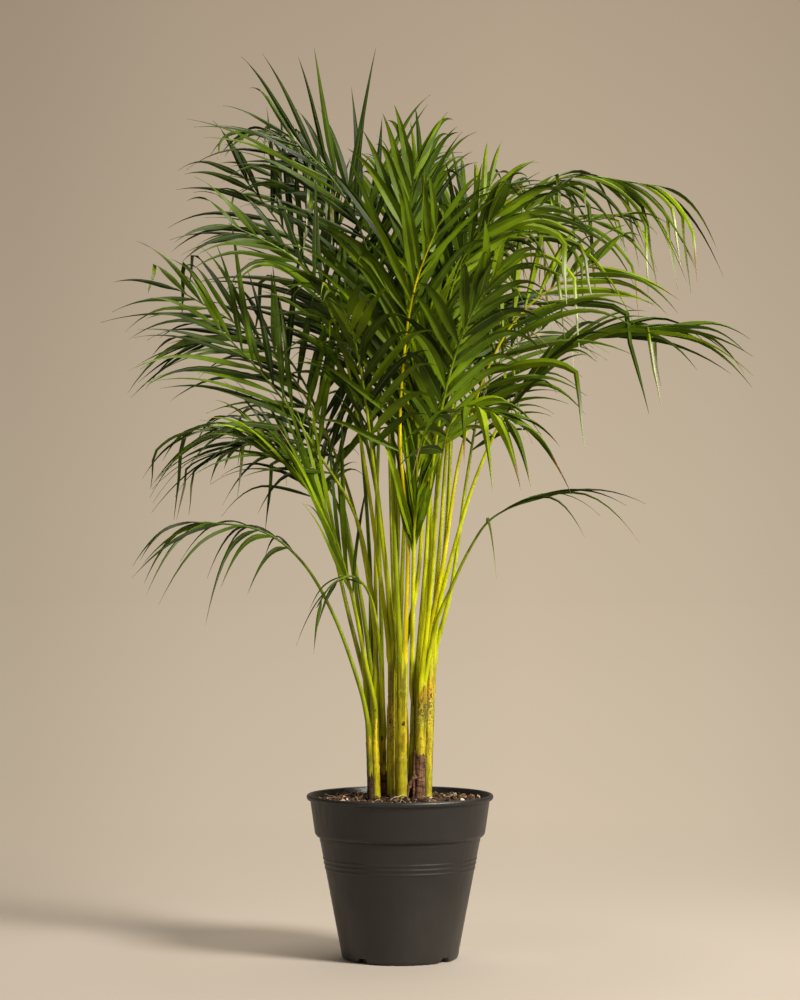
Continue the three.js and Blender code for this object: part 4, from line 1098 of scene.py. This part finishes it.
class Leaflets:
    """The leaflets of a frond, in pairs at even steps along the leafy part of its rib. The second one
    of a pair, on the other side, starts a little further on."""

    def __init__(self, frond, number, rib):
        self.build = frond.build
        self.looks = frond.looks
        self.number = number
        bare = FINE_START.get(number, self.build.bare)
        pairs = max(FEWEST_PAIRS, int(rib.length * (1 - bare) / self.looks.spacing))
        pair, self.side = (grid.ravel() for grid in np.meshgrid(np.arange(pairs), [1, -1], indexing="ij"))
        self.step = (pair + PAIR_START + np.where(self.side > 0, 0, 0.45)) / pairs
        self.tag = 2 * pair + (self.side > 0)
        self.share = bare + (1 - bare) * self.step
        self.start = rib.at(self.share)
        self.along, self.level_side, self.above = rib_frame(rib, self.share, bare, self.build.twist)
        self.hooked = deep(self.drawn(11) < self.looks.hooked)
        beyond = np.maximum(0, WAY - deep(mix(0.6, 0.8, self.drawn(12))))
        self.fallen = self.hooked * beyond * smooth(beyond / 0.16)

    def drawn(self, which):
        """A draw between 0 and 1 for each leaflet."""
        return draw(self.number, self.tag, which)

    def scattered(self, size, which):
        """A draw between -size and size for each leaflet."""
        return scatter(size, self.number, self.tag, which)

    def ways_out(self):
        """A leaflet leaves the rib at an angle, which closes towards the tip, and at a rise. One below
        the part's leafy stretch stays closer to the stalk."""
        angle = self.build.spread * mix(BASE_ANGLE, END_ANGLE, self.step) + self.scattered(ANGLE_SCATTER, 1)
        angle = np.maximum(LEAST_ANGLE, angle) * np.where(self.share < self.build.bare, 0.6, 1)
        angle = np.radians(angle)[:, None]
        lift = np.radians(self.build.rise + self.scattered(ANGLE_SCATTER, 2))[:, None]
        out = self.along * np.cos(angle)
        out = out + self.level_side * self.side[:, None] * np.sin(angle) * np.cos(lift)
        return out + self.above * np.sin(angle) * np.sin(lift)

    def lines(self):
        """A leaflet's line sinks with the square of the way along, but less where it starts nearly
        upright, its tip curls down by a share of its own, and it sways sideways. A hooked one bends
        over and hangs."""
        out = self.ways_out()
        length = self.build.longest * length_share(self.step) * (1 + self.scattered(LENGTH_SCATTER, 3))
        sag = self.build.droop * mix(*DROOP_SHARES, self.drawn(4))
        curl = 0.05 + 0.2 * deep(self.drawn(13)) ** 2
        soft = deep(sag) * WAY ** 2 + curl * np.maximum(0, (WAY - 0.5) / 0.5) ** 2
        level_reach = deep(np.linalg.norm(out[:, :2], axis=1))
        hang = soft * smooth(level_reach / 0.3) + 0.95 * self.fallen
        wave = deep(self.scattered(0.035, 14)) * np.sin(3.5 * WAY)
        sway = deep(self.scattered(0.08, 5)) * WAY ** 2 + wave
        bent = out[:, None] * (WAY - 0.6 * self.fallen) - UP * hang + self.along[:, None] * sway
        return self.start[:, None] + deep(length) * bent

    def facings(self, line):
        """The wide and the high direction of each ring: a leaflet is widest along the rib at its root,
        turns towards level and rolls a little."""
        heading = headings(line)
        along = self.along[:, None]
        rib_way = along - dot(along, heading) * heading
        level = np.cross(heading, UP)
        level = level * np.sign(dot(level, along) + 1e-9)
        flat = unit(mix(unit(rib_way), level, LEVELLING * WAY))
        flat = unit(flat - dot(flat, heading) * heading) * deep(self.side)
        over = np.cross(heading, flat)
        roll = deep(self.scattered(0.5, 6)) * WAY
        return flat * np.cos(roll) + over * np.sin(roll), over * np.cos(roll) - flat * np.sin(roll)

    def half_widths(self):
        """Half the blade's width, slimmer at both ends of the frond, and blunt where it is hooked."""
        slim = mix(0.75, 1, np.sin(np.pi * np.clip(0.12 + 0.8 * self.step, 0, 1)))
        slim = slim * (1 + self.scattered(0.12, 7))
        broad = np.interp(self.build.width, [8, 10, 11, 12, 13], [1.1, 0.88, 0.9, 1.05, 1.2])
        blunt = blade_width(WAY * (1 - 0.2 * self.hooked))
        blunt = blunt * (1 - 0.85 * self.hooked * smooth((WAY - 0.85) / 0.15))
        return (self.build.width / 2) * broad * deep(slim) * blunt

    def rings(self):
        """Each ring has four corners: two edges, a ridge above and a keel below, with both halves folded
    down by an angle that eases towards the tip."""
        line = self.lines()
        wide, high = self.facings(line)
        half = self.half_widths()
        shut = deep(self.looks.fold * (1 + self.scattered(0.35, 16)))
        bend = np.radians(np.minimum(STEEPEST_FOLD, shut * mix(1.5, 0.7, WAY)))
        edge_out = wide * half * np.cos(bend)
        edge_down = high * half * np.sin(bend)
        body = 0.22 + 0.12 * (1 - WAY)
        return np.stack([
            line + edge_out - edge_down, line + high * body, line - edge_out - edge_down,
            line - high * body], axis=2)

    def marks(self):
        """What the finish reads at each point: a tone round the frond's own, paler on some fallen ends,
        partly for their pale undersides and partly as painted sheen, dryness that grows along the last fifth
        of some, and the way up the rib."""
        dried = self.drawn(8) < self.looks.dry
        browned = np.where(dried, 0.80 + 0.12 * self.drawn(9), 1.3 + 0 * self.step)
        dryness = 0.5 + 2.2 * (STATIONS[None] - browned[:, None])
        plain = np.clip(self.looks.tone + self.scattered(0.42, 10), 0, 1)[:, None]
        # Painted sheen: some fallen ends turn pale, which stands partly for the leaflets' pale undersides
        # and partly for a painted highlight.
        pale_end_sheen = smooth(14 * self.fallen[..., 0]) * (self.drawn(15) < 0.65)[:, None]
        return {
            "tone": np.repeat(mix(plain, PALEST, pale_end_sheen).ravel() / PALEST, BLADE_CORNERS),
            "dryness": np.repeat(np.clip(dryness, 0, 1).ravel(), BLADE_CORNERS),
            "along": np.repeat(self.share, len(STATIONS) * BLADE_CORNERS),
        }

    def uv(self):
        """Across: 0 and 1 at an edge and its fold. Up: the way along the leaflet."""
        across = np.broadcast_to([1, 0.5, 0, 0.5], (len(self.step), len(STATIONS), BLADE_CORNERS))
        up = np.broadcast_to(WAY, across.shape)
        return np.stack([across, up], axis=-1).reshape(-1, 2)


def make_frond(index, foot, skins):
    """A frond: one closed stalk and rib, and closed leaflets whose roots are sunk in it."""
    frond = FRONDS[index]
    number = index + 1
    leaning = unit(UP + unit(np.array(frond.route[0]) - foot))
    rib = RibLine([foot, foot + STALK_RISE * leaning, *frond.route])
    stalk, way = stalk_surface(frond, rib)
    leaflets = Leaflets(frond, number, rib)
    blades = leaflets.rings()
    marks = leaflets.marks()
    stalk_tables = lofted(stalk[None])
    leaf_tables = [table + len(way) for table in lofted(blades)]
    slots = [np.zeros(len(table)) for table in stalk_tables] + [np.ones(len(table)) for table in leaf_tables]
    round_share = np.abs(2 * np.arange(STALK_CORNERS) / STALK_CORNERS - 1)
    stalk_uv = np.stack([np.tile(round_share, len(stalk)), way], axis=1)
    mesh = mesh_of(
        f"frond_{number:02d}", np.concatenate([stalk.reshape(-1, 3), blades.reshape(-1, 3)]),
        stalk_tables + leaf_tables, skins, uv=np.concatenate([stalk_uv, leaflets.uv()]),
        material_of=np.concatenate(slots), crease=24,
        tone=np.concatenate([np.full(len(way), frond.looks.stalk), marks["tone"]]),
        dryness=np.concatenate([np.zeros(len(way)), marks["dryness"]]),
        along=np.concatenate([way, marks["along"]]))
    add_piece(f"palm_frond_{number:02d}", mesh, "palm_leaf", f"frond_{number:02d}")


# The studio

CAMERA_DISTANCE = 4.09
CAMERA_HEIGHT = 0.589
LENS = 114.48  # for a 36 mm frame height
FLOOR_REACH = 14.0
NEAR_FLOOR = 2.4  # the distance that scales the floor's glow share: only at the pot's foot is the floor lit like any other surface, and beyond three quarters of it the floor is all glow


def make_camera():
    camera = new_object("camera", bpy.data.cameras.new("camera"))
    camera.data.lens = LENS
    camera.location = (0, -CAMERA_DISTANCE, CAMERA_HEIGHT)
    camera.rotation_euler = (math.radians(90), 0, 0)
    bpy.context.scene.camera = camera


def soft_light(name, place, aim, size, power, color):
    light = bpy.data.lights.new(name, "AREA")
    light.shape = "DISK"
    light.size = size
    light.energy = power
    light.color = color
    lamp = new_object(name, light)
    lamp.location = place
    lamp.rotation_euler = (Vector(aim) - Vector(place)).to_track_quat("-Z", "Y").to_euler()


def make_lights():
    """A large warm key from the right front, a weak fill from the left front and one above the back."""
    soft_light("key", (3.5, -2.95, 3.5), (0, 0, 0.6), 1.7, 650, (1.0, 0.95, 0.86))
    soft_light("fill", (-2.0, -3.2, 2.4), (0, 0, 0.5), 2.2, 27, (1.0, 0.96, 0.90))
    soft_light("back", (0.3, 1.6, 3.4), (0, 0, 0.8), 3.0, 72, (1.0, 0.91, 0.77))


def surround_shade(heading):
    """A grey for a direction: the surround is brightest behind the palm, a little to the right, falls
    off to both sides and is dimmest at the front."""
    right, back = (axis_of(heading, axis) * 0.5 + 0.5 for axis in "XY")
    sides = ramp(
        right, (0.2, 0.72), (0.44, 0.84), (0.47, 1.0), (0.52, 1.1), (0.55, 1.04), (0.58, 0.9), (0.8, 0.8))
    return shaded(sides, ramp(back, (0.15, 0.6), (0.5, 1.0)))


def make_surround():
    """A plain warm surround that darkens gently upwards and to the front."""
    world = bpy.data.worlds.new("studio")
    world.use_nodes = True
    tree = world.node_tree
    tree.nodes.clear()
    direction = add(tree, "ShaderNodeTexCoord", output="Generated")
    color = ramp(
        (axis_of(direction, "Z") + 0.1) / 1.1, (0.045, (0.540, 0.440, 0.324)),
        (0.091, (0.515, 0.418, 0.305)), (0.232, (0.405, 0.318, 0.228)), (0.42, (0.16, 0.135, 0.105)),
        (1.0, (0.08, 0.07, 0.06)))
    dimmed = shaded(color, surround_shade(direction))
    background = add(tree, "ShaderNodeBackground", {"Color": dimmed, "Strength": 1.0})
    add(tree, "ShaderNodeOutputWorld", {"Surface": background})
    bpy.context.scene.world = world


def studio_floor(tree):
    """A pale floor that takes on the surround's tone with the distance from the pot, so that no edge
    shows between them from the front. Nearer the pot the glow's share is also painted light that lifts
    the floor's shadows: none at the pot's foot, 0.3 from about 0.2 to 0.3 m out, down to 0.06 at about
    0.45 m and up to the whole glow by 1.8 m."""
    place = object_place(tree)
    far = add(tree, "ShaderNodeVectorMath", {0: place}, "Value", operation="LENGTH")
    near = add(tree, "ShaderNodeBsdfDiffuse", {"Color": (0.410, 0.364, 0.318)})
    tones = ramp(
        far / FLOOR_REACH, (0.05, (0.605, 0.497, 0.371)), (0.21, (0.578, 0.474, 0.352)),
        (0.57, (0.550, 0.449, 0.331)), (1.0, (0.534, 0.434, 0.319)))
    from_front = add(tree, "ShaderNodeVectorMath", {0: place, 1: (0, CAMERA_DISTANCE, 0)})
    heading = add(tree, "ShaderNodeVectorMath", {0: from_front}, operation="NORMALIZE")
    glow = add(tree, "ShaderNodeEmission", {
        "Color": shaded(tones, surround_shade(heading)), "Strength": 1.0})
    # Painted light: near the pot a share of the glow lifts the floor's shadows, less at about 0.45 m out.
    glow_share = ramp(
        far / NEAR_FLOOR, (0.03, 0.0), (0.09, 0.3), (0.13, 0.3), (0.19, 0.06), (0.30, 0.25), (0.40, 0.6),
        (0.75, 1.0))
    return add(tree, "ShaderNodeMixShader", {0: glow_share, 1: near, 2: glow})


def make_floor():
    corners = np.array([(-1, -1, 0), (1, -1, 0), (1, 1, 0), (-1, 1, 0)]) * FLOOR_REACH / MM
    mesh = mesh_of("floor", corners, [np.array([[0, 1, 2, 3]])], [material(studio_floor)])
    new_object("floor", mesh)


# Making

make_camera()
make_lights()
make_surround()
make_floor()
bpy.context.scene.view_settings.view_transform = "Standard"

make_pot(material(pot_plastic))
make_soil(material(potting_soil))
make_chips(material(bark_chips))
skins_of_cane = [material(cane_skin), material(dry_sheath)]
for cane_index in range(len(CANES)):
    make_cane(cane_index, skins_of_cane)
skins_of_frond = [material(stalk_skin), material(leaf_skin)]
feet_of_stalks = stalk_feet()
for frond_index in range(len(FRONDS)):
    make_frond(frond_index, feet_of_stalks[frond_index], skins_of_frond)
